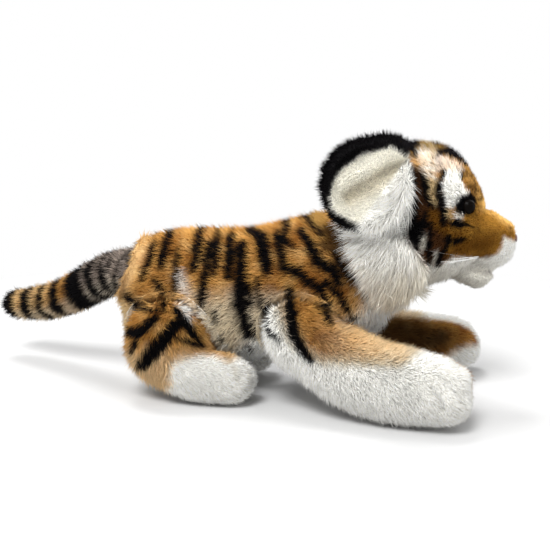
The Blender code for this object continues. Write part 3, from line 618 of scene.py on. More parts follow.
def pile_tree(material):
    """Grows closed, tapered strands from a skin whose attributes say how thick, how long and which way."""
    group = bpy.data.node_groups.new("plush_strands", "GeometryNodeTree")
    bench = Bench(group)
    sockets = (
        ("Geometry", "NodeSocketGeometry"),
        ("Strands per square metre", "NodeSocketFloat"),
        ("Strand width", "NodeSocketFloat"),
        ("Strand steps", "NodeSocketInt"),
        ("Curl", "NodeSocketFloat"),
        ("Scatter", "NodeSocketFloat"),
        ("Tuft size", "NodeSocketFloat"),
        ("Tuft strength", "NodeSocketFloat"),
        ("Seed", "NodeSocketInt"),
    )
    for name, kind in sockets:
        group.interface.new_socket(name=name, in_out="INPUT", socket_type=kind)
    group.interface.new_socket(name="Geometry", in_out="OUTPUT", socket_type="NodeSocketGeometry")
    given = group.nodes.new("NodeGroupInput")
    value = {name: Wire(bench, given.outputs[name]) for name, kind in sockets}

    def held(name, kind="FLOAT"):
        return bench.node("GeometryNodeInputNamedAttribute", {"data_type": kind}, {"Name": name})

    def stored(geometry, name, kind, domain, number):
        settings = {"data_type": kind, "domain": domain}
        sockets = {"Geometry": geometry, "Name": name, "Value": number}
        return bench.node("GeometryNodeStoreNamedAttribute", settings, sockets)

    def vector_sum(operation, first, second, socket=1):
        return bench.node("ShaderNodeVectorMath", {"operation": operation}, {0: first, socket: second})

    def rounded(operation, number):
        return bench.node("ShaderNodeMath", {"operation": operation}, {0: number})

    def random_between(low, high, seed):
        sockets = {2: low, 3: high, "Seed": value["Seed"] + seed}
        return bench.node("FunctionNodeRandomValue", {"data_type": "FLOAT"}, sockets, out=1)

    density = value["Strands per square metre"] * held("thick")
    spots = bench.node("GeometryNodeDistributePointsOnFaces", {}, {
        "Mesh": value["Geometry"], "Density": density, "Seed": value["Seed"]})
    normal = Wire(bench, spots.socket.node.outputs["Normal"])

    # Which way a strand points: as the pile lies, with some stray and some gathering in tufts.
    stray = bench.node("FunctionNodeRandomValue", {"data_type": "FLOAT_VECTOR"}, {
        0: (-1.0, -1.0, -1.0), 1: (1.0, 1.0, 1.0), "Seed": value["Seed"]})
    tuft = bench.node("ShaderNodeTexNoise", {}, {"Scale": value["Tuft size"], "Detail": 1.0}, out=1)
    tuft = vector_sum("SUBTRACT", tuft, (0.5, 0.5, 0.5))
    stray = vector_sum("SCALE", stray, value["Scatter"], "Scale")
    tuft = vector_sum("SCALE", tuft, value["Tuft strength"], "Scale")
    aim = vector_sum("ADD", vector_sum("ADD", held("lie", "FLOAT_VECTOR"), stray), tuft)
    turned = bench.node("FunctionNodeAlignRotationToVector", {"axis": "Z"}, {"Vector": aim})
    turned = bench.node("FunctionNodeAlignRotationToVector", {"axis": "X", "pivot_axis": "Z"}, {
        "Rotation": turned, "Vector": normal})

    # One strand, 1 wide and 1 long: a closed cone of three sides.
    cone = bench.node("GeometryNodeMeshCone", {}, {
        "Vertices": 3, "Side Segments": value["Strand steps"], "Radius Top": 0.0, "Radius Bottom": 0.5,
        "Depth": 1.0})
    cone_map = Wire(bench, cone.socket.node.outputs["UV Map"])
    height = bench.node("ShaderNodeSeparateXYZ", {}, {0: bench.node("GeometryNodeInputPosition")}, out=2)
    strand = stored(cone, "along", "FLOAT", "POINT", height)
    strand = stored(strand, "cell_map", "FLOAT2", "CORNER", cone_map)
    bend = bench.node("ShaderNodeCombineXYZ", {}, {0: height * height * value["Curl"] * -1.0})
    strand = bench.node("GeometryNodeSetPosition", {}, {"Geometry": strand, "Offset": bend})

    width = value["Strand width"] * random_between(0.7, 1.3, 1)
    length = held("reach") * random_between(0.6, 1.3, 2)
    size = bench.node("ShaderNodeCombineXYZ", {}, {0: width, 1: width, 2: length})
    strands = bench.node("GeometryNodeInstanceOnPoints", {}, {
        "Points": spots, "Instance": strand, "Rotation": turned, "Scale": size})
    strands = stored(strands, "shade", "FLOAT", "INSTANCE", random_between(0.0, 1.0, 3))
    strands = stored(strands, "cell", "INT", "INSTANCE", bench.node("GeometryNodeInputIndex"))
    count = bench.node("GeometryNodeAttributeDomainSize", {"component": "INSTANCES"}, {
        "Geometry": strands}, out="Instance Count")
    pile = bench.node("GeometryNodeRealizeInstances", {}, {"Geometry": strands})

    # The map OFBake: each strand has a cell of its own in a square of cells.
    across = rounded("CEIL", rounded("SQRT", count))
    cell = held("cell", "INT")
    row = rounded("FLOOR", (cell + 0.5) / across)
    corner = bench.node("ShaderNodeCombineXYZ", {}, {0: cell - row * across + 0.1, 1: row + 0.1})
    laid = vector_sum("ADD", corner, vector_sum("SCALE", held("cell_map", "FLOAT_VECTOR"), 0.8, "Scale"))
    laid = vector_sum("SCALE", laid, 1.0 / across, "Scale")
    pile = stored(pile, "OFBake", "FLOAT2", "CORNER", laid)
    pile = bench.node("GeometryNodeSetMaterial", {}, {"Geometry": pile, "Material": material})
    bench.node("NodeGroupOutput", {}, {"Geometry": pile})
    return group


def grow_on(pelt, name, tree, material, keep=1.0, density=STRANDS, width=STRAND_WIDTH, steps=1, curl=0.0,
            scatter=0.38, tuft_size=140.0, tuft_strength=0.75, longer=1.0, seed=1):
    """The pile on the part of a pelt that keep says, as a plain mesh of closed strands."""
    mesh = pelt.skin.data.copy()
    for attribute, share in (("thick", keep), ("reach", longer)):
        held = mesh.attributes[attribute].data
        value = np.empty(len(mesh.vertices), np.float32)
        held.foreach_get("value", value)
        held.foreach_set("value", value * np.asarray(share, np.float32))
    field = bpy.data.objects.new(name, mesh)
    bpy.context.scene.collection.objects.link(field)
    growth = field.modifiers.new("pile", "NODES")
    growth.node_group = tree
    sizes = {
        "Strands per square metre": density,
        "Strand width": width,
        "Strand steps": steps,
        "Curl": curl,
        "Scatter": scatter,
        "Tuft size": tuft_size,
        "Tuft strength": tuft_strength,
        "Seed": seed,
    }
    for item in tree.interface.items_tree:
        if item.in_out == "INPUT" and item.name in sizes:
            growth[item.identifier] = sizes[item.name]
    pile = evaluated(field)
    for spare in ("thick", "lie", "reach", "cell", "cell_map"):
        if spare in pile.attributes:
            pile.attributes.remove(pile.attributes[spare])
    points = places(pile)
    points[:, 2] = np.maximum(points[:, 2], FLOOR_CLEARANCE)
    moved(pile, points)
    pile.polygons.foreach_set("use_smooth", np.ones(len(pile.polygons), bool))
    fur = linked(name, pile, material)
    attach(fur, pelt.body)
    return fur


def combed(points, outward, flow, lift):
    """Which way each strand lies: along the skin in the flow's direction, and off it by lift in degrees."""
    along = flow - outward * np.sum(outward * flow, axis=1)[:, None]
    along /= np.maximum(np.linalg.norm(along, axis=1), 1e-6)[:, None]
    angle = np.broadcast_to(np.radians(lift), len(points))[:, None]
    return along * np.cos(angle) + outward * np.sin(angle)


def dressed(mesh, coat, lie, reach, thick):
    """Writes on a skin what its pile is grown from."""
    for name, kind, field, value in (
        ("coat", "FLOAT_COLOR", "color", np.hstack((coat, np.ones((len(coat), 1))))),
        ("lie", "FLOAT_VECTOR", "vector", lie),
        ("reach", "FLOAT", "value", reach),
        ("thick", "FLOAT", "value", thick),
    ):
        made = mesh.attributes.new(name, kind, "POINT")
        made.data.foreach_set(field, np.asarray(value, np.float32).ravel())


def buried(points, others):
    """True where a point is well inside one of the other pelts."""
    inside = np.zeros(len(points), bool)
    upward = Vector((0.13, 0.07, 1.0)).normalized()
    for other in others:
        low, high = other.points.min(axis=0), other.points.max(axis=0)
        near = np.all((points > low) & (points < high), axis=1) & ~inside
        for number in np.flatnonzero(near):
            point = Vector(points[number])
            crossings, spot = 0, other.tree.ray_cast(point, upward)[0]
            while spot is not None:
                crossings += 1
                spot = other.tree.ray_cast(spot + upward * 0.00001, upward)[0]
            if crossings % 2:
                inside[number] = other.tree.find_nearest(point)[3] > BURIED_DEPTH
    return inside


# How soft the edge of a black stripe is.
STRIPE_SOFT = 0.0014

# Markings of the coat, in pixels of the picture. A line is its width and then its points.
# A patch is the points round it.

BACK_STRIPES = (
    (12, (170, 229), (165, 246), (159, 267)),
    (9, (153, 243), (147, 262), (140, 279)),
    (11, (200, 229), (196, 250), (192, 270)),
    (10, (217, 233), (215, 252), (213, 273)),
    (11, (230, 235), (228, 255), (227, 277)),
    (16, (250, 230), (260, 236), (263, 252), (266, 272)),
    (9, (286, 219), (284, 240), (292, 247)),
    (7, (302, 212), (312, 225), (320, 235)),
)
SIDE_STRIPES = (
    (7, (176, 249), (174, 272), (173, 294)),
    (10, (209, 242), (204, 275), (199, 308)),
    (15, (241, 243), (240, 270), (239, 304), (248, 337)),
    (7, (247, 285), (250, 306)),
    (6, (256, 278), (259, 310)),
    (11, (276, 232), (280, 253), (282, 268), (296, 272), (307, 282), (320, 290), (325, 308), (331, 323)),
    (12, (299, 229), (306, 240), (312, 250), (316, 261), (331, 270), (340, 284)),
    (8, (324, 281), (339, 297), (347, 312)),
    (7, (334, 253), (347, 276), (359, 282)),
    (12, (288, 290), (291, 310), (294, 335), (302, 350), (311, 360)),
    (7, (268, 304), (266, 324), (268, 333), (279, 341)),
    (7, (213, 314), (214, 322)),
    (5, (219, 339), (220, 344)),
    (6, (245, 346), (250, 352)),
    (5, (359, 285), (364, 295), (370, 304)),
    (4, (367, 287), (378, 292), (386, 298)),
    (6, (350, 319), (354, 322)),
)
THIGH_STRIPES = (
    (11, (123, 293), (132, 303), (140, 309)),
    (6, (140, 309), (150, 312), (164, 311)),
    (14, (124, 331), (138, 334), (154, 320)),
    (9, (140, 330), (131, 354)),
    (17, (178, 325), (162, 343), (142, 366)),
    (5, (146, 352), (136, 374)),
    (8, (153, 281), (161, 290), (164, 308)),
    (10, (176, 312), (187, 326), (199, 342)),
    (6, (179, 341), (204, 347)),
)
FACE_BLACK = (
    ((411, 146), (418, 147), (417, 157), (411, 158)),
    ((410, 168), (414, 170), (416, 182), (414, 198), (420, 205), (416, 212), (419, 220), (424, 209),
     (428, 214), (427, 224), (424, 234), (419, 243), (418, 252), (410, 242), (404, 232), (404, 217),
     (408, 205), (410, 196)),
    ((417, 171), (422, 174), (428, 178), (429, 190), (429, 200), (435, 206), (434, 211), (427, 207),
     (422, 198), (420, 186)),
    ((441, 169), (446, 169), (445, 174), (441, 181), (442, 188), (443, 196), (446, 205), (447, 216),
     (446, 226), (440, 228), (439, 214), (436, 203), (434, 194), (435, 184), (439, 177)),
    ((427, 222), (433, 222), (433, 236), (431, 250), (430, 265), (425, 265), (425, 248), (427, 236)),
    ((444, 234), (450, 234), (452, 242), (447, 249), (443, 258), (440, 268), (434, 267), (438, 254),
     (444, 245)),
    ((451, 240), (460, 237), (470, 239), (462, 243), (452, 247)),
    ((446, 223), (453, 219), (460, 220), (468, 223), (479, 229), (468, 227), (459, 229), (450, 227)),
    ((454, 203), (461, 205), (463, 200), (468, 197), (471, 190), (476, 196), (478, 202), (472, 206),
     (473, 212), (464, 210), (460, 215), (455, 210)),
    ((458, 169), (463, 170), (464, 179), (461, 179)),
    ((434, 157), (436, 151), (443, 147), (450, 148), (458, 151), (465, 157), (470, 166), (464, 165),
     (456, 160), (448, 156), (441, 154)),
    ((402, 133), (412, 131), (424, 133), (436, 138), (424, 138), (413, 137)),
    ((404, 141), (412, 139), (420, 141), (419, 147), (411, 152), (404, 160), (400, 150)),
    ((428, 140), (440, 141), (452, 146), (442, 146), (431, 144)),
)
FACE_WHITE = (
    ((444, 171), (449, 169), (458, 170), (462, 178), (466, 187), (470, 192), (467, 197), (461, 203),
     (455, 207), (449, 210), (445, 205), (442, 193), (441, 184)),
    ((433, 158), (440, 154), (450, 158), (460, 164), (465, 169), (458, 171), (447, 170), (440, 170),
     (434, 170)),
    ((455, 211), (459, 214), (464, 214), (463, 220), (457, 221), (453, 216)),
)
FACE_PALE = (
    ((421, 234), (425, 232), (425, 246), (421, 252), (419, 246)),
    ((434, 250), (437, 250), (437, 258), (434, 265), (431, 264)),
)
FACE_PATCHES = (
    (COCOA, 6, ((404, 160), (430, 172), (452, 222), (456, 256), (440, 268), (424, 262), (404, 236))),
    (BRONZE, 5, ((430, 208), (440, 212), (452, 232), (450, 240), (438, 232), (430, 222))),
    (SAND, 4, ((427, 177), (437, 178), (434, 188), (436, 204), (431, 206), (429, 192))),
    (SAND, 3, ((446, 208), (451, 210), (453, 219), (448, 221), (446, 214))),
    (BLUSH, 6, ((416, 149), (430, 145), (439, 151), (434, 158), (437, 170), (434, 179), (427, 178),
     (421, 170), (417, 160))),
    (OLIVE, 6, ((398, 130), (440, 134), (475, 148), (478, 168), (466, 162), (446, 148), (436, 150),
     (418, 147), (402, 152))),
    (FAWN, 5, ((466, 160), (484, 168), (488, 202), (474, 200), (475, 194), (469, 188), (465, 178),
     (462, 168))),
    (GOLD, 5, ((452, 212), (464, 212), (474, 205), (482, 196), (492, 205), (506, 216), (514, 224),
     (526, 238), (508, 238), (501, 238), (499, 248), (493, 254), (482, 257), (467, 258), (451, 256),
     (447, 246), (449, 228))),
    # Painted light on the top of the muzzle (this patch), and painted shade on its lower part (the next
    # patch).
    (HONEY, 8, ((480, 196), (494, 203), (520, 222), (520, 236), (506, 230), (494, 218), (478, 210))),
    (BRONZE, 12, ((450, 232), (470, 236), (494, 234), (500, 244), (488, 258), (468, 259), (450, 257))),
)
JAW_PATCH = (
    (424, 264), (439, 267), (452, 257), (467, 259), (482, 258), (494, 254), (500, 247), (502, 237),
     (509, 240), (528, 242),
    (526, 310), (380, 310), (402, 262))
RUFF_PATCH = (
    (345, 222), (380, 190), (398, 150), (411, 160), (411, 190), (408, 205), (405, 217), (405, 232),
     (410, 242), (418, 252),
    (425, 268), (412, 300), (380, 345), (330, 320), (326, 250))
FLANK_PATCHES = (
    (12, ((175, 279), (180, 274), (187, 286), (188, 298), (181, 296), (177, 290))),
    (5, ((172, 305), (180, 298), (190, 302), (194, 314), (190, 325), (180, 316))),
    (9, ((186, 318), (196, 318), (210, 344), (200, 348), (190, 336))),
)
RUMP_PATCH = ((124, 248), (148, 234), (150, 242), (138, 262), (130, 292), (118, 292))
BELLY_PATCH = ((196, 300), (214, 292), (262, 296), (300, 300), (300, 420), (170, 420), (196, 340))
ARM_PATCH = (
    (276, 262), (350, 300), (385, 326), (412, 346), (404, 356), (374, 358), (348, 358), (322, 356),
     (300, 346), (287, 318))
FAR_LEG_SHADE = ((360, 306), (420, 318), (452, 329), (454, 344), (438, 358), (360, 362))
FAR_TAN = ((360, 286), (460, 300), (494, 326), (478, 342), (462, 348), (444, 362), (360, 370))
FOOT_TAN = ((110, 330), (215, 330), (244, 352), (230, 360), (206, 355), (184, 357), (172, 366), (168, 380),
    (170, 410), (110, 410))
EAR_PATCH = (
    (409, 160), (400, 150), (390, 146), (374, 150), (360, 154), (350, 162), (338, 171), (332, 184),
     (328, 200), (331, 210),
    (340, 217), (356, 225), (372, 232), (430, 232), (430, 160))
EAR_FOLD = (6, (351, 197), (360, 191), (372, 185), (382, 178), (393, 172), (405, 166))
NECK_SHADE = ((322, 226), (332, 224), (350, 232), (346, 250), (354, 268), (366, 288), (350, 286),
    (330, 262), (318, 244))
NECK_TAN = ((300, 206), (318, 192), (330, 224), (334, 244), (318, 240), (306, 222))
MOUTH = (3, (471, 269), (478, 272), (485, 273), (492, 271))
TOE_CREASES = ((3, (447, 379), (456, 391), (463, 404)), (3, (430, 387), (438, 399), (443, 412)))
FOOT_CREASES = ((2, (243, 360), (250, 371), (252, 383)), (2, (228, 357), (236, 368), (239, 380)))
TAIL_RINGS = ((-40, 21), (28, 40), (45, 53), (60, 70), (77, 96), (99, 108), (111, 120), (126, 132),
    (138, 142))
WHISKER_ROOT = (477, 258)
WHISKER_ENDS = ((420, 249), (441, 262), (442, 264), (446, 263), (450, 259))


# Bands on the back of the head: how wide, and then which way each point is from the head's middle, in
# degrees round from the front and up.
HEAD_BANDS = (
    (8, (180, 86), (150, 78), (128, 66)),
    (9, (180, 62), (202, 60), (222, 50), (236, 38)),
    (8, (180, 40), (197, 39), (214, 32), (228, 18)),
    (8, (180, 18), (196, 17), (212, 10), (222, -4)),
    (6, (192, 28), (206, 24)),
    (6, (205, 74), (224, 62)),
)
HEAD_MIDDLE = Vector((0.078, 0.0, 0.060))

# Where a skin is drawn a little way: u, v, how wide the place is, and how far it goes right and up.
HEAD_NUDGES = ((505, 212, 9, 0, -6), (477, 286, 9, -1, -5), (493, 284, 5, -4, 2), (446, 146, 10, 1, 1.5))
EAR_NUDGES = ((390, 138, 17, 11, 7), (336, 226, 10, -4, 0))
HIND_NUDGES = ((252, 356, 13, -1, -5), (254, 394, 10, -3, 2), (172, 398, 9, 3, 2))
FRONT_NUDGES = ((479, 388, 13, -7, -1), (462, 364, 9, -1, -2))


def patch(uv, corners, soft, rough):
    """1 inside a patch of the picture and 0 outside it, with a soft edge."""
    inside = np.zeros(len(uv), bool)
    gap = np.full(len(uv), 1e6)
    for start, end in zip(corners, corners[1:] + corners[:1]):
        start, end = np.array(start, float), np.array(end, float)
        line = end - start
        share = np.clip(((uv - start) @ line) / (line @ line), 0, 1)
        gap = np.minimum(gap, np.linalg.norm(uv - start - share[:, None] * line, axis=1))
        crosses = (start[1] > uv[:, 1]) != (end[1] > uv[:, 1])
        rise = line[1] if line[1] else 1e-9
        inside ^= crosses & (uv[:, 0] < start[0] + (uv[:, 1] - start[1]) * line[0] / rise)
    signed = np.where(inside, gap, -gap) + rough
    return np.clip(0.5 + signed / soft, 0, 1)


class Pelt:
    """The cloth skin of one part, and how the pile on it lies, how long it is and how it is coloured, with
    dye and with painted shade.
    """

    def __init__(self, name, body, nodes, inset, whole=None, voxel=VOXEL, rounds=8, slot="orange_plush"):
        self.name, self.body, self.nodes, self.slot = name, body, nodes, slot
        self.mesh, self.outer, self.thick = pelt_form(name, nodes, inset, whole, voxel, rounds)
        self.points, self.outward = places(self.mesh), normals(self.mesh)
        self.tree = tree_of(self.mesh)
        self.outer_tree = tree_of(self.mesh, self.outer)

    def press(self, rows, depth, width):
        """Presses a crease into the skin."""
        gap = np.maximum(reach_to(self.outer, rows), 0)
        dip = (self.outward.T * depth * np.exp(-(gap / width) ** 2)).T
        self.points = self.points - dip
        self.outer = self.outer - dip
        moved(self.mesh, self.points)
        self.outward = normals(self.mesh)

    def nudge(self, own_frame, away, nudges):
        """Draws the skin a little along the picture. A nudge is a place, how wide it is, and how far right
        and up it goes."""
        seen = near_pixels(self.outer, own_frame, away)
        for u, v, wide, right, up in nudges:
            share = np.exp(-np.sum((seen - (u, v)) ** 2, axis=1) / (2 * wide ** 2))
            shift = share[:, None] * np.array((right, 0.0, up)) * PIXEL
            self.points, self.outer = self.points + shift, self.outer + shift
        for array in (self.points, self.outer):
            array[:, 2] = np.maximum(array[:, 2], FLOOR_CLEARANCE)
        moved(self.mesh, self.points)
        self.outward = normals(self.mesh)
        self.tree, self.outer_tree = tree_of(self.mesh), tree_of(self.mesh, self.outer)

    def crease(self, strokes, sign, depth):
        """Presses lines that were laid on the near side, or their mirror images."""
        for rows in strokes:
            self.press(rows if sign < 0 else mirrored_rows(rows, BODY_FRAME), depth, TOE_PRESS_WIDTH)

    def comb(self, flow, lift, reach):
        """Sets how the pile lies, and its ground colour. A strand shows where its tip lies, so its colour is
        worked out there."""
        self.reach = np.broadcast_to(reach, len(self.points)).astype(float)
        self.lie = combed(self.points, self.outward, np.broadcast_to(flow, self.points.shape), lift)
        rise = np.sum(self.lie * self.outward, axis=1)[:, None]
        self.tips = self.outer + (self.lie - self.outward * rise) * self.reach[:, None] * 0.6
        self.edge = ragged(self.tips, 260.0, 1.0)
        self.drift = ragged(self.tips, 60.0, 1.0)
        self.coat = np.tile(np.array(ORANGE), (len(self.points), 1))
        self.dye_and_shade(0.4 + self.drift * 1.1, RUST)
        self.dye_and_shade(ragged(self.tips + 0.3, 90.0, 1.4) - 0.05, AMBER)
        self.dye_and_shade(ragged(self.tips + 0.7, 240.0, 1.5) - 0.2, RUST)

    def dye_and_shade(self, mask, colour):
        self.coat = dyed_and_shaded(self.coat, mask, colour)

    def finish(self, cloth, others):
        """Makes the cloth, with no pile where another pelt or the ground covers it."""
        grounded = (self.points[:, 2] < GROUND_HEIGHT) & (self.outward[:, 2] < -0.5)
        self.thick = np.where(buried(self.points, others) | grounded, 0.0, self.thick)
        dressed(self.mesh, self.coat, self.lie, self.reach, self.thick)
        self.skin = linked(self.name + "_pelt", self.mesh, cloth)

    def ride(self):
        """Puts the cloth on its body in place of the solids that it stands for."""
        for spare in ("lie", "reach", "thick"):
            self.skin.data.attributes.remove(self.skin.data.attributes[spare])
        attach(self.skin, self.body)
        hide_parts(*self.nodes)


def on_near_side(points, own_frame, away):
    """The points, with those that are away, on the side that the camera can't see, mirrored to its side."""
    return np.where(np.broadcast_to(away, len(points))[:, None], mirrored(points, own_frame), points)


def near_pixels(points, own_frame, away):
    """Where the camera sees the points, or their mirror images on the near side."""
    return pixels_of(on_near_side(points, own_frame, away))


def stripe(pelt, strokes, own_frame=BODY_FRAME):
    pelt.coat = painted(pelt.coat, pelt.tips, strokes, INK, own_frame, STRIPE_SOFT, pelt.edge * STRIPE_SOFT)


def chest_share(points, shift=0.0):
    """1 on the white chest and 0 behind it."""
    return ramp(points[:, 0] + CHEST_SLOPE * (CHEST_HEIGHT - points[:, 2]) + shift, *CHEST_EDGE)


def dye_and_shade_torso(pelt, strokes):
    tips, outward = pelt.tips, pelt.outward
    uv = near_pixels(tips, BODY_FRAME, tips[:, 1] > 0)
    rough = pelt.edge * 2.0 + pelt.drift * 4.0
    pelt.dye_and_shade(ramp(tips[:, 2] + pelt.drift * 0.012, 0.100, 0.070), SAND)
    pelt.dye_and_shade(patch(uv, BELLY_PATCH, 22, rough) * 0.7, OAT)
    pelt.dye_and_shade(patch(uv, BELLY_PATCH, 22, rough) * ramp(pelt.drift, -0.2, 0.2) * 0.6, DUN)
    pelt.dye_and_shade(ramp(tips[:, 2] + pelt.drift * 0.01, 0.058, 0.036) * 0.8, OAT)
    pelt.dye_and_shade(ramp(-outward[:, 2], 0.35, 0.7) * ramp(-tips[:, 2], -0.09, -0.07), MILK)
    pelt.dye_and_shade(patch(uv, RUMP_PATCH, 10, rough) * 0.4, SAND)
    for soft, corners in FLANK_PATCHES:
        pelt.dye_and_shade(patch(uv, corners, soft, rough * 1.6), MILK)
    pelt.dye_and_shade(chest_share(tips, pelt.drift * 0.006), MILK)
    pelt.dye_and_shade(patch(uv, NECK_TAN, 10, rough) * 0.6, OLIVE)
    pelt.dye_and_shade(patch(uv, NECK_SHADE, 9, rough + ragged(tips, 150.0, 9.0)) * 0.85, UMBER)
    stripe(pelt, strokes)


def tail_axis(points):
    """Points along the middle of the tail."""
    order = np.linspace(points[:, 0].min(), points[:, 0].max(), 40)
    bands = [points[(points[:, 0] >= low) & (points[:, 0] <= high)] for low, high in zip(order, order[1:])]
    return np.array([band.mean(axis=0) for band in bands if len(band)])


def along_tail(points, axis):
    """Which point of the axis is nearest to each point, and the way to the tail's root there."""
    nearest = np.argmin(np.linalg.norm(points[:, None] - axis[None], axis=2), axis=1)
    step = axis[np.minimum(nearest + 1, len(axis) - 1)] - axis[np.maximum(nearest - 1, 0)]
    return nearest, step / np.linalg.norm(step, axis=1)[:, None]


def dye_tail(pelt, axis):
    tips = pelt.tips
    nearest, step = along_tail(tips, axis)
    past = np.sum((tips - axis[nearest]) * step, axis=1)
    u = pixels_of(axis)[:, 0][nearest] + past / PIXEL + pelt.edge * 1.5 + pelt.drift * 3.0
    pelt.dye_and_shade(0.5 * ramp(-u, -75, -45), SAND)
    pelt.dye_and_shade(0.85 * ramp(u, 72, 100), SMOKE)
    pelt.dye_and_shade(0.6 * ramp(axis[nearest][:, 2] - tips[:, 2], 0.0, 0.012), OAT)
    for low, high in TAIL_RINGS:
        pelt.dye_and_shade(ramp(u, low - 1, low + 1) * ramp(-u, -high - 1, -high + 1), INK)


def dye_and_shade_front_leg(pelt, sign, strokes, creases):
    tips, outward = pelt.tips, pelt.outward
    inner = ramp(outward[:, 1] * -sign - 0.35 * outward[:, 2], -0.15, 0.15)
    near = near_pixels(tips, BODY_FRAME, sign > 0)
    far = near_pixels(tips, BODY_FRAME, sign < 0)
    rough = pelt.edge * 2.0 + pelt.drift * 5.0
    outer_coat = dyed_and_shaded(pelt.coat, ramp(near[:, 0] + pelt.drift * 14, 310, 380) * 0.9, TAN)
    outer_coat = dyed_and_shaded(outer_coat, 1 - patch(near, ARM_PATCH, 18, rough), OAT)
    outer_coat = dyed_and_shaded(outer_coat, 1 - patch(near, ARM_PATCH, 10, rough + 9), MILK)
    inner_coat = dyed_and_shaded(pelt.coat, 1 - patch(far, FAR_TAN, 10, rough), MILK)
    # Painted shade on the inner side of the leg, under the chest.
    inner_coat = dyed_and_shaded(inner_coat, patch(far, FAR_LEG_SHADE, 22, rough) * 0.9, UMBER)
    pelt.coat = outer_coat + (inner_coat - outer_coat) * inner[:, None]
    pelt.dye_and_shade(ramp(-tips[:, 2], -0.016, -0.008), MILK)
    # Painted shade in the pressed toe creases.
    pelt.coat = painted(pelt.coat, tips, creases, SHELL, BODY_FRAME, soft=0.005)
    stripe(pelt, strokes)


def dye_and_shade_hind(pelt, sign, strokes, creases):
    tips = pelt.tips
    near = near_pixels(tips, BODY_FRAME, sign > 0)
    rough = pelt.edge * 2.0 + pelt.drift * 5.0
    pelt.dye_and_shade(ramp(near[:, 1] + pelt.drift * 8, 340, 362) * 0.75, TAN)
    pelt.dye_and_shade((1 - patch(near, FOOT_TAN, 7, rough)) * ramp(near[:, 1], 342, 350), MILK)
    for soft, corners in FLANK_PATCHES[:2]:
        pelt.dye_and_shade(patch(near, corners, soft, rough * 1.6), MILK)
    # Painted shade in the pressed toe creases of the foot.
    pelt.coat = painted(pelt.coat, tips, creases, SHELL, BODY_FRAME, soft=0.004)
    stripe(pelt, strokes)


def dye_and_shade_head(pelt, local, mouth):
    tips = pelt.tips
    uv = near_pixels(tips, HEAD_FRAME, local[:, 1] > 0)
    rough = pelt.edge * 1.2
    for colour, soft, corners in FACE_PATCHES:
        pelt.dye_and_shade(patch(uv, corners, soft, rough + pelt.drift * soft * 0.5), colour)
    wisps = patch(uv, FACE_PATCHES[4][2], 6, rough) * ramp(ragged(tips + 0.2, 230.0, 1.0), -0.1, 0.3)
    pelt.dye_and_shade(wisps * 0.8, MILK)
    brow = np.maximum(patch(uv, FACE_PATCHES[5][2], 6, rough), patch(uv, FACE_PATCHES[6][2], 5, rough))
    pelt.dye_and_shade(brow * ramp(ragged(tips, 170.0, 1.0), -0.04, 0.22) * 0.8, UMBER)
    pelt.dye_and_shade(ramp(ragged(tips, 330.0, 1.0), 0.1, 0.5) * ramp(uv[:, 0], 440, 460) * 0.5, BRONZE)
    ruff = patch(uv, RUFF_PATCH, 4, rough)
    jaw = patch(uv, JAW_PATCH, 4, rough)
    pelt.dye_and_shade(np.maximum(ruff, jaw), MILK)
    # Painted shade: the jaw greys towards the bottom.
    pelt.dye_and_shade(jaw * ramp(uv[:, 1] + pelt.drift * 6, 256, 276) * 0.7, ASH)
    # Painted shade: the ruff goes beige towards its lower right.
    pelt.dye_and_shade(ruff * ramp(uv[:, 1] + 0.3 * uv[:, 0] + pelt.drift * 12, 350, 410) * 0.55, OAT)
    for share, corners in zip((1.0, 0.55, 0.9), FACE_WHITE):
        pelt.dye_and_shade(patch(uv, corners, 2.5, rough * 0.6) * share, MILK)
    for corners in FACE_PALE:
        pelt.dye_and_shade(patch(uv, corners, 2.5, rough * 0.6) * 0.85, ASH)
    for corners in FACE_BLACK:
        pelt.dye_and_shade(patch(uv, corners, 1.6, rough * 0.7), INK)
    pelt.coat = painted(pelt.coat, tips, mouth, SMOKE, HEAD_FRAME, soft=0.003)
    bands = [lifted_band(pelt.outer_tree, band) for band in HEAD_BANDS]
    stripe(pelt, bands, HEAD_FRAME)
    return ruff


def head_inset(points):
    return HEAD_INSET - MUZZLE_OUT * ramp(points[:, 0], *MUZZLE_EDGE)


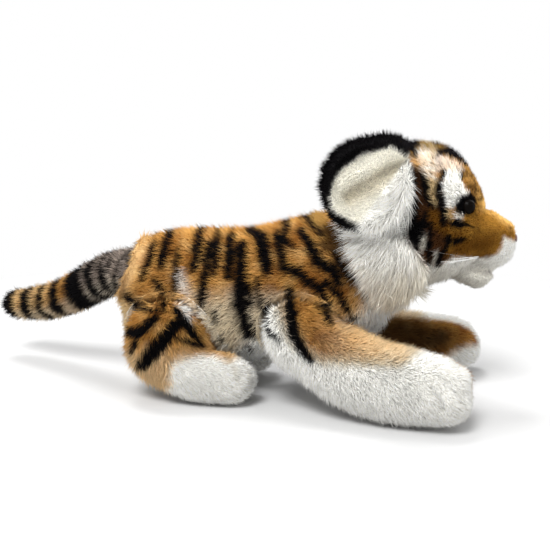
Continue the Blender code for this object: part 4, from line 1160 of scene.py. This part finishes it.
def ear_pelt(side, fold):
    """An ear, and the line of its fold, which the second ear takes from the first."""
    solids = ["ear_back_" + side, "ear_lining_" + side]
    pelt = Pelt("ear_" + side, "ear_" + side, solids, THIN_INSET, rounds=4, slot="black_plush")
    joint = next(j for j in frame["joints"] if j["name"] == "ear_flex_" + side)
    hinge = np.array(joint["pos_m"])
    lining = tree_of(frame["nodes"]["ear_lining_" + side].data)
    close = np.array([lining.find_nearest(Vector(p))[3] for p in pelt.points])
    inner = ramp(-close, -0.0035, -0.0022)
    facing = pelt.outward[inner > 0.5].mean(axis=0)
    away = side == "left"
    pelt.nudge(HEAD_FRAME, away, EAR_NUDGES)
    near = on_near_side(pelt.points, HEAD_FRAME, away)
    rows = lifted_stroke([pelt.outer_tree], EAR_FOLD) if fold is None else fold
    gap = np.maximum(reach_to(near, rows), 0)
    lobe = ramp(reach_to(near, rows + np.array((-0.004, 0, 0.012, 0))), 0.012, 0.0)
    shift = inner * (0.003 * lobe - 0.003 * np.exp(-(gap / 0.005) ** 2))
    pelt.points = pelt.points + pelt.outward * shift[:, None]
    moved(pelt.mesh, pelt.points)
    eased(pelt.mesh, 2)
    pelt.points, pelt.outward = places(pelt.mesh), normals(pelt.mesh)
    pelt.outer = pelt.points + pelt.outward * THIN_INSET
    near = on_near_side(pelt.points, HEAD_FRAME, away)
    seen = pixels_of(near)
    low = ramp(seen[:, 0] * 0.8 + seen[:, 1] * 0.6, 420, 438) * inner
    flow = pelt.points - hinge
    flow = flow / np.linalg.norm(flow, axis=1)[:, None]
    flow = flow + (np.array((-0.6, 0.0, -1.0)) - flow) * low[:, None]
    reach = EAR_PILE - LINING_SHORTER * inner + LOBE_LONGER * low
    pelt.comb(flow, EAR_LIFT - LINING_FLATTER * inner, reach)
    uv = near_pixels(pelt.tips, HEAD_FRAME, away)
    pelt.coat = np.tile(np.array(INK), (len(pelt.points), 1))
    front = ramp(pelt.outward @ facing, -0.1, 0.25)
    cream = patch(uv, EAR_PATCH, 3, pelt.edge * 1.5) * front
    pelt.dye_and_shade(cream, CREAM)
    # Painted shade along the fold, under the upper lobe.
    pelt.dye_and_shade(cream * np.exp(-(gap / 0.006) ** 2) * 0.55, SHELL)
    pelt.dye_and_shade(front * ramp(uv[:, 0] * 0.8 + uv[:, 1] * 0.6, 418, 424), MILK)
    return pelt, rows


def tube(name, lines, radii, material):
    """Fine threads along lines of points, as closed tubes that narrow towards their ends."""
    shape = bmesh.new()
    for line in lines:
        rings = []
        for number, (spot, radius) in enumerate(zip(line, radii)):
            ahead = (line[min(number + 1, len(line) - 1)] - line[max(number - 1, 0)]).normalized()
            side = ahead.orthogonal().normalized()
            up = ahead.cross(side)
            turns = [2 * math.pi * k / 6 for k in range(6)]
            ways = [side * math.cos(turn) + up * math.sin(turn) for turn in turns]
            rings.append([shape.verts.new(spot + way * radius) for way in ways])
        for first, second in zip(rings, rings[1:]):
            for k in range(6):
                shape.faces.new((first[k], first[(k + 1) % 6], second[(k + 1) % 6], second[k]))
        shape.faces.new(rings[0][::-1])
        shape.faces.new(rings[-1])
    bmesh.ops.recalc_face_normals(shape, faces=shape.faces)
    mesh = bpy.data.meshes.new(name)
    shape.to_mesh(mesh)
    shape.free()
    for polygon in mesh.polygons:
        polygon.use_smooth = True
    return linked(name, mesh, material)


def whisker_fans(head, material):
    """Fine nylon filaments swept back from each side of the muzzle."""
    root = Vector(lifted([head.outer_tree], *WHISKER_ROOT))
    lines = []
    for number, (u, v) in enumerate(WHISKER_ENDS):
        ray = ray_through(u, v)
        end = CAMERA_AT + ray * ((root.y - 0.026 + 0.002 * number - CAMERA_AT.y) / ray.y)
        start = root + Vector((0.0005 * number, 0.001, 0.0006 * (number - 2)))
        middle = (start + end) / 2 + Vector((0.0, -0.008, 0.001))
        steps = [k / 11 for k in range(12)]
        lines.append([start * (1 - t) ** 2 + middle * (2 * t * (1 - t)) + end * t * t for t in steps])
    radii = [0.00030 - 0.00018 * k / 11 for k in range(12)]
    for side in SIDES:
        if side == "left":
            lines = [[Vector(p) for p in mirrored(np.array(line), HEAD_FRAME)] for line in lines]
        fan = tube(f"whisker_fan_{side}", lines, radii, material)
        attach(fan, "head")
        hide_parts("whiskers_" + side)


def whole_skin():
    """A smooth skin round all the stuffed parts, which bridges the creases between them."""
    parts = ["torso_skin", "torso_stuffing", "neck_gusset", "head_skin", "head_stuffing", "tail_skin",
             "tail_stuffing"]
    parts += [f"{part}_{side}_{layer}" for side in SIDES for part in ("front_leg", "hind_leg", "hind_foot")
              for layer in ("skin", "stuffing")]
    mesh = remeshed("whole", parts, WHOLE_VOXEL)
    outer_shell(mesh)
    eased(mesh, 30)
    return tree_of(mesh)


def make_pelts(whole):
    head_solids = ["head_skin", "head_stuffing", "muzzle", "chin", "cheek_ruff_right", "cheek_ruff_left"]
    pelts = {
        "torso": Pelt("torso", "torso", ["torso_skin", "torso_stuffing"], TORSO_INSET, whole, rounds=12),
        "neck": Pelt("neck", "neck", ["neck_gusset"], THIN_INSET, rounds=6),
        "tail": Pelt("tail", "tail", ["tail_skin", "tail_stuffing", "tail_tip"], TAIL_INSET, whole),
        "head": Pelt("head", "head", head_solids, head_inset, whole, voxel=FINE_VOXEL),
    }
    for side in SIDES:
        leg, hind, foot = "front_leg_" + side, "hind_leg_" + side, "hind_foot_" + side
        leg_solids = [leg + "_skin", leg + "_stuffing", "front_paw_skin_" + side]
        hind_solids = [hind + "_skin", hind + "_stuffing", foot + "_skin", foot + "_stuffing"]
        pelts[leg] = Pelt(leg, leg, leg_solids, FRONT_INSET, whole)
        pelts[hind] = Pelt(hind, hind, hind_solids, HIND_INSET, whole)
    return pelts


def dye_and_shade_body(pelts):
    for side, sign in SIDE_SIGNS:
        for part, nudges in (("front_leg_", FRONT_NUDGES), ("hind_leg_", HIND_NUDGES)):
            leg = pelts[part + side]
            leg.nudge(BODY_FRAME, sign > 0, nudges)
    near = [pelts[n].outer_tree for n in ("torso", "front_leg_right", "hind_leg_right")]
    strokes = [lifted_stroke(near, s, pelts["torso"].outer_tree) for s in BACK_STRIPES]
    strokes += [lifted_stroke(near, s) for s in SIDE_STRIPES + THIGH_STRIPES]
    toes = [lifted_stroke(near, s) for s in TOE_CREASES]
    foot_toes = [lifted_stroke(near, s) for s in FOOT_CREASES]

    torso = pelts["torso"]
    torso.comb((-1.0, 0.0, -0.45), TORSO_LIFT, TORSO_PILE + CHEST_LONGER * chest_share(torso.points))
    dye_and_shade_torso(torso, strokes)

    neck = pelts["neck"]
    neck.comb((-1.0, 0.0, -0.6), NECK_LIFT, NECK_PILE)
    # Painted shade under the ruff: the whole neck goes most of the way to umber.
    neck.dye_and_shade(0.6, UMBER)
    neck.dye_and_shade(ramp(neck.tips[:, 2], 0.125, 0.105), MILK)
    stripe(neck, strokes)

    tail = pelts["tail"]
    axis = tail_axis(tail.points)
    tail.comb(np.array((0.0, 0.0, -0.2)) - along_tail(tail.points, axis)[1], TAIL_LIFT, TAIL_PILE)
    dye_tail(tail, axis)

    for side, sign in SIDE_SIGNS:
        leg = pelts["front_leg_" + side]
        leg.crease(toes, sign, TOE_PRESS)
        along = (np.array(TOE) - np.array(SHOULDER)) * np.array((1, sign, 1))
        aim = along / np.linalg.norm(along) + np.array((0.0, 0.0, -0.35))
        leg.comb(aim, LEG_LIFT, LEG_PILE - PAW_SHORTER * ramp(leg.points[:, 0], 0.2, 0.24))
        dye_and_shade_front_leg(leg, sign, strokes, toes)
        hind = pelts["hind_leg_" + side]
        hind.crease(foot_toes, sign, FOOT_PRESS)
        foot = (ramp(hind.points[:, 0], -0.012, 0.02) * ramp(-hind.points[:, 2], -0.064, -0.046))[:, None]
        flow = np.array((0.3, 0.0, -1.0)) * (1 - foot) + np.array((1.0, 0.0, -0.3)) * foot
        hind.comb(flow, LEG_LIFT, LEG_PILE - PAW_SHORTER * foot[:, 0])
        dye_and_shade_hind(hind, sign, strokes, foot_toes)


def groom_head(pelts):
    head = pelts["head"]
    away = np.array(HEAD_FRAME.inverted())
    turn = np.array(HEAD_FRAME)[:3, :3]
    local = head.points @ away[:3, :3].T + away[:3, 3]
    head.nudge(HEAD_FRAME, local[:, 1] > 0, HEAD_NUDGES)
    mouth = [lifted_stroke([head.outer_tree], MOUTH)]
    for rows in (mouth[0], mirrored_rows(mouth[0], HEAD_FRAME)):
        head.press(rows, MOUTH_PRESS, MOUTH_PRESS_WIDTH)
    snout = ramp(local[:, 0], 0.112, 0.134)
    flow = (local - np.array((0.166, 0.0, 0.045))) @ turn.T
    flow = flow / np.linalg.norm(flow, axis=1)[:, None] + np.array((-0.3, 0.0, -0.3))
    eyes = [np.mean(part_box("eye_" + side), axis=0) for side in SIDES]
    eye = np.minimum.reduce([np.linalg.norm(head.points - middle, axis=1) for middle in eyes])
    lash = np.exp(-(eye / 0.010) ** 2)
    reach = HEAD_PILE - SNOUT_SHORTER * snout + LASH_LONGER * lash
    head.comb(flow, HEAD_LIFT - SNOUT_FLATTER * snout, reach)
    head.thick = head.thick * (1.0 + 0.6 * snout)
    ruff = dye_and_shade_head(head, local, mouth)
    head.dye_and_shade(ramp(head.edge * 0.0012 - eye, -0.0094, -0.0074), INK)
    uv = near_pixels(head.points, HEAD_FRAME, local[:, 1] > 0)
    under = ramp(uv[:, 0], 350, 410)[:, None]
    drop = (np.array((-0.85, 0.0, -0.6)) * (1 - under) + np.array((-0.25, 0.0, -1.0)) * under) @ turn.T
    head.lie = np.where(ruff[:, None] > 0.5, combed(head.points, head.outward, drop, RUFF_LIFT), head.lie)
    head.reach = head.reach + RUFF_LONGER * ruff
    return local, ruff


def dress_tiger():
    pile = plush_pile()
    cloth = backing_cloth()
    tree = pile_tree(pile)
    pelts = make_pelts(whole_skin())
    dye_and_shade_body(pelts)
    local, ruff = groom_head(pelts)
    head, torso = pelts["head"], pelts["torso"]

    for name, pelt in pelts.items():
        pelt.finish(cloth, [other for n, other in pelts.items() if n != name])
    rows = None
    for side in SIDES:
        ear, rows = ear_pelt(side, rows)
        ear.finish(cloth, [head])
        grow_on(ear, f"ear_{side}_fur", tree, pile, density=EAR_STRANDS, tuft_strength=0.4, seed=81)
        pelts[ear.name] = ear

    right, rear = torso.points[:, 1] < 0, torso.points[:, 0] < WAIST
    for name, keep, seed in (
        ("rump_fur_right", right & rear, 11),
        ("rump_fur_left", ~right & rear, 12),
        ("shoulder_fur_right", right & ~rear, 13),
        ("shoulder_fur_left", ~right & ~rear, 14),
    ):
        grow_on(torso, name, tree, pile, keep, seed=seed)
    grow_on(pelts["neck"], "neck_fur", tree, pile, density=NECK_STRANDS, seed=21)
    grow_on(pelts["tail"], "tail_fur", tree, pile, seed=31)
    for side in SIDES:
        for leg, tufts, seed in (("front_leg_" + side, 0.55, 41), ("hind_leg_" + side, 0.75, 51)):
            grow_on(pelts[leg], leg + "_fur", tree, pile, tuft_strength=tufts, seed=seed)
    right = local[:, 1] < 0
    for side, keep in (("right", right), ("left", ~right)):
        grow_on(head, f"head_fur_{side}", tree, pile, keep, density=HEAD_STRANDS, width=HEAD_STRAND_WIDTH,
                scatter=0.35, tuft_strength=0.6, seed=61)
        hair = grow_on(head, f"cheek_hair_{side}", tree, pile, keep * (ruff > 0.3), density=CHEEK_STRANDS,
                       width=CHEEK_STRAND_WIDTH, steps=2, curl=1.4, scatter=0.2, tuft_strength=0.7,
                       longer=2.0, seed=71)
    for pelt in pelts.values():
        pelt.ride()

    nodes = frame["nodes"]
    plastic, washer = plain_finish("eye_plastic_black"), plain_finish("washer_plastic_white")
    for side in SIDES:
        nodes["eye_" + side].data.materials[0] = plastic
        nodes["eye_washer_" + side].data.materials[0] = washer
    nodes["nose"].data.materials[0] = plain_finish("nose_velour")
    whisker_fans(head, plain_finish("whisker_filament_clear"))


def studio():
    scene = bpy.context.scene
    scene.view_settings.view_transform = "Standard"

    sight = bpy.data.cameras.new("camera")
    sight.lens = LENS
    sight.sensor_width = FILM
    sight.clip_end = 20.0
    camera = bpy.data.objects.new("camera", sight)
    scene.collection.objects.link(camera)
    camera.matrix_world = CAMERA_WORLD
    scene.camera = camera

    bpy.ops.mesh.primitive_plane_add(size=FLOOR_SIZE, location=(0, 0, 0))
    floor = bpy.context.active_object
    floor.name = "floor"
    material, bench = finish_of("studio_floor")
    cloud = bench.noise(scale=3.0)
    paper = bench.node("ShaderNodeBsdfPrincipled", {}, {
        "Base Color": bench.mix(cloud, FLOOR_DARK, FLOOR_PALE), "Roughness": 0.85 + cloud * 0.05,
        "Specular IOR Level": 0.1})
    white = bench.node("ShaderNodeEmission", {}, {"Color": PLAIN_WHITE, "Strength": 1.0})
    place = bench.node("ShaderNodeTexCoord", out="Object")
    away = bench.node("ShaderNodeVectorMath", {"operation": "DISTANCE"}, {0: place, 1: TOY_MIDDLE}, "Value")
    away = bench.node("ShaderNodeMapRange", {}, {
        "Value": away, "From Min": WHITE_FROM, "From Max": WHITE_TO})
    straight = bench.node("ShaderNodeLightPath", out="Is Camera Ray")
    surface = bench.node("ShaderNodeMixShader", {}, {0: away * straight, 1: paper, 2: white})
    bench.node("ShaderNodeOutputMaterial", {}, {"Surface": surface})
    floor.data.materials.append(material)

    world = bpy.data.worlds.new("studio")
    scene.world = world
    world.use_nodes = True
    world.node_tree.nodes.clear()
    bench = Bench(world.node_tree)
    seen = bench.node("ShaderNodeLightPath", out="Is Camera Ray")
    for name in ("Is Glossy Ray", "Is Transmission Ray"):
        other = bench.node("ShaderNodeLightPath", out=name)
        seen = bench.node("ShaderNodeMath", {"operation": "MAXIMUM"}, {0: seen, 1: other})
    strength = WORLD_LIGHT + seen * (1.0 - WORLD_LIGHT)
    light = bench.node("ShaderNodeBackground", {}, {"Color": PLAIN_WHITE, "Strength": strength})
    bench.node("ShaderNodeOutputWorld", {}, {"Surface": light})

    for name, source, spread, power in LAMPS:
        data = bpy.data.lights.new(name, "SUN")
        data.angle = math.radians(spread)
        data.energy = power
        lamp = bpy.data.objects.new(name, data)
        scene.collection.objects.link(lamp)
        lamp.location = source
        lamp.rotation_euler = Vector(source).to_track_quat("Z", "Y").to_euler()


studio()
dress_tiger()
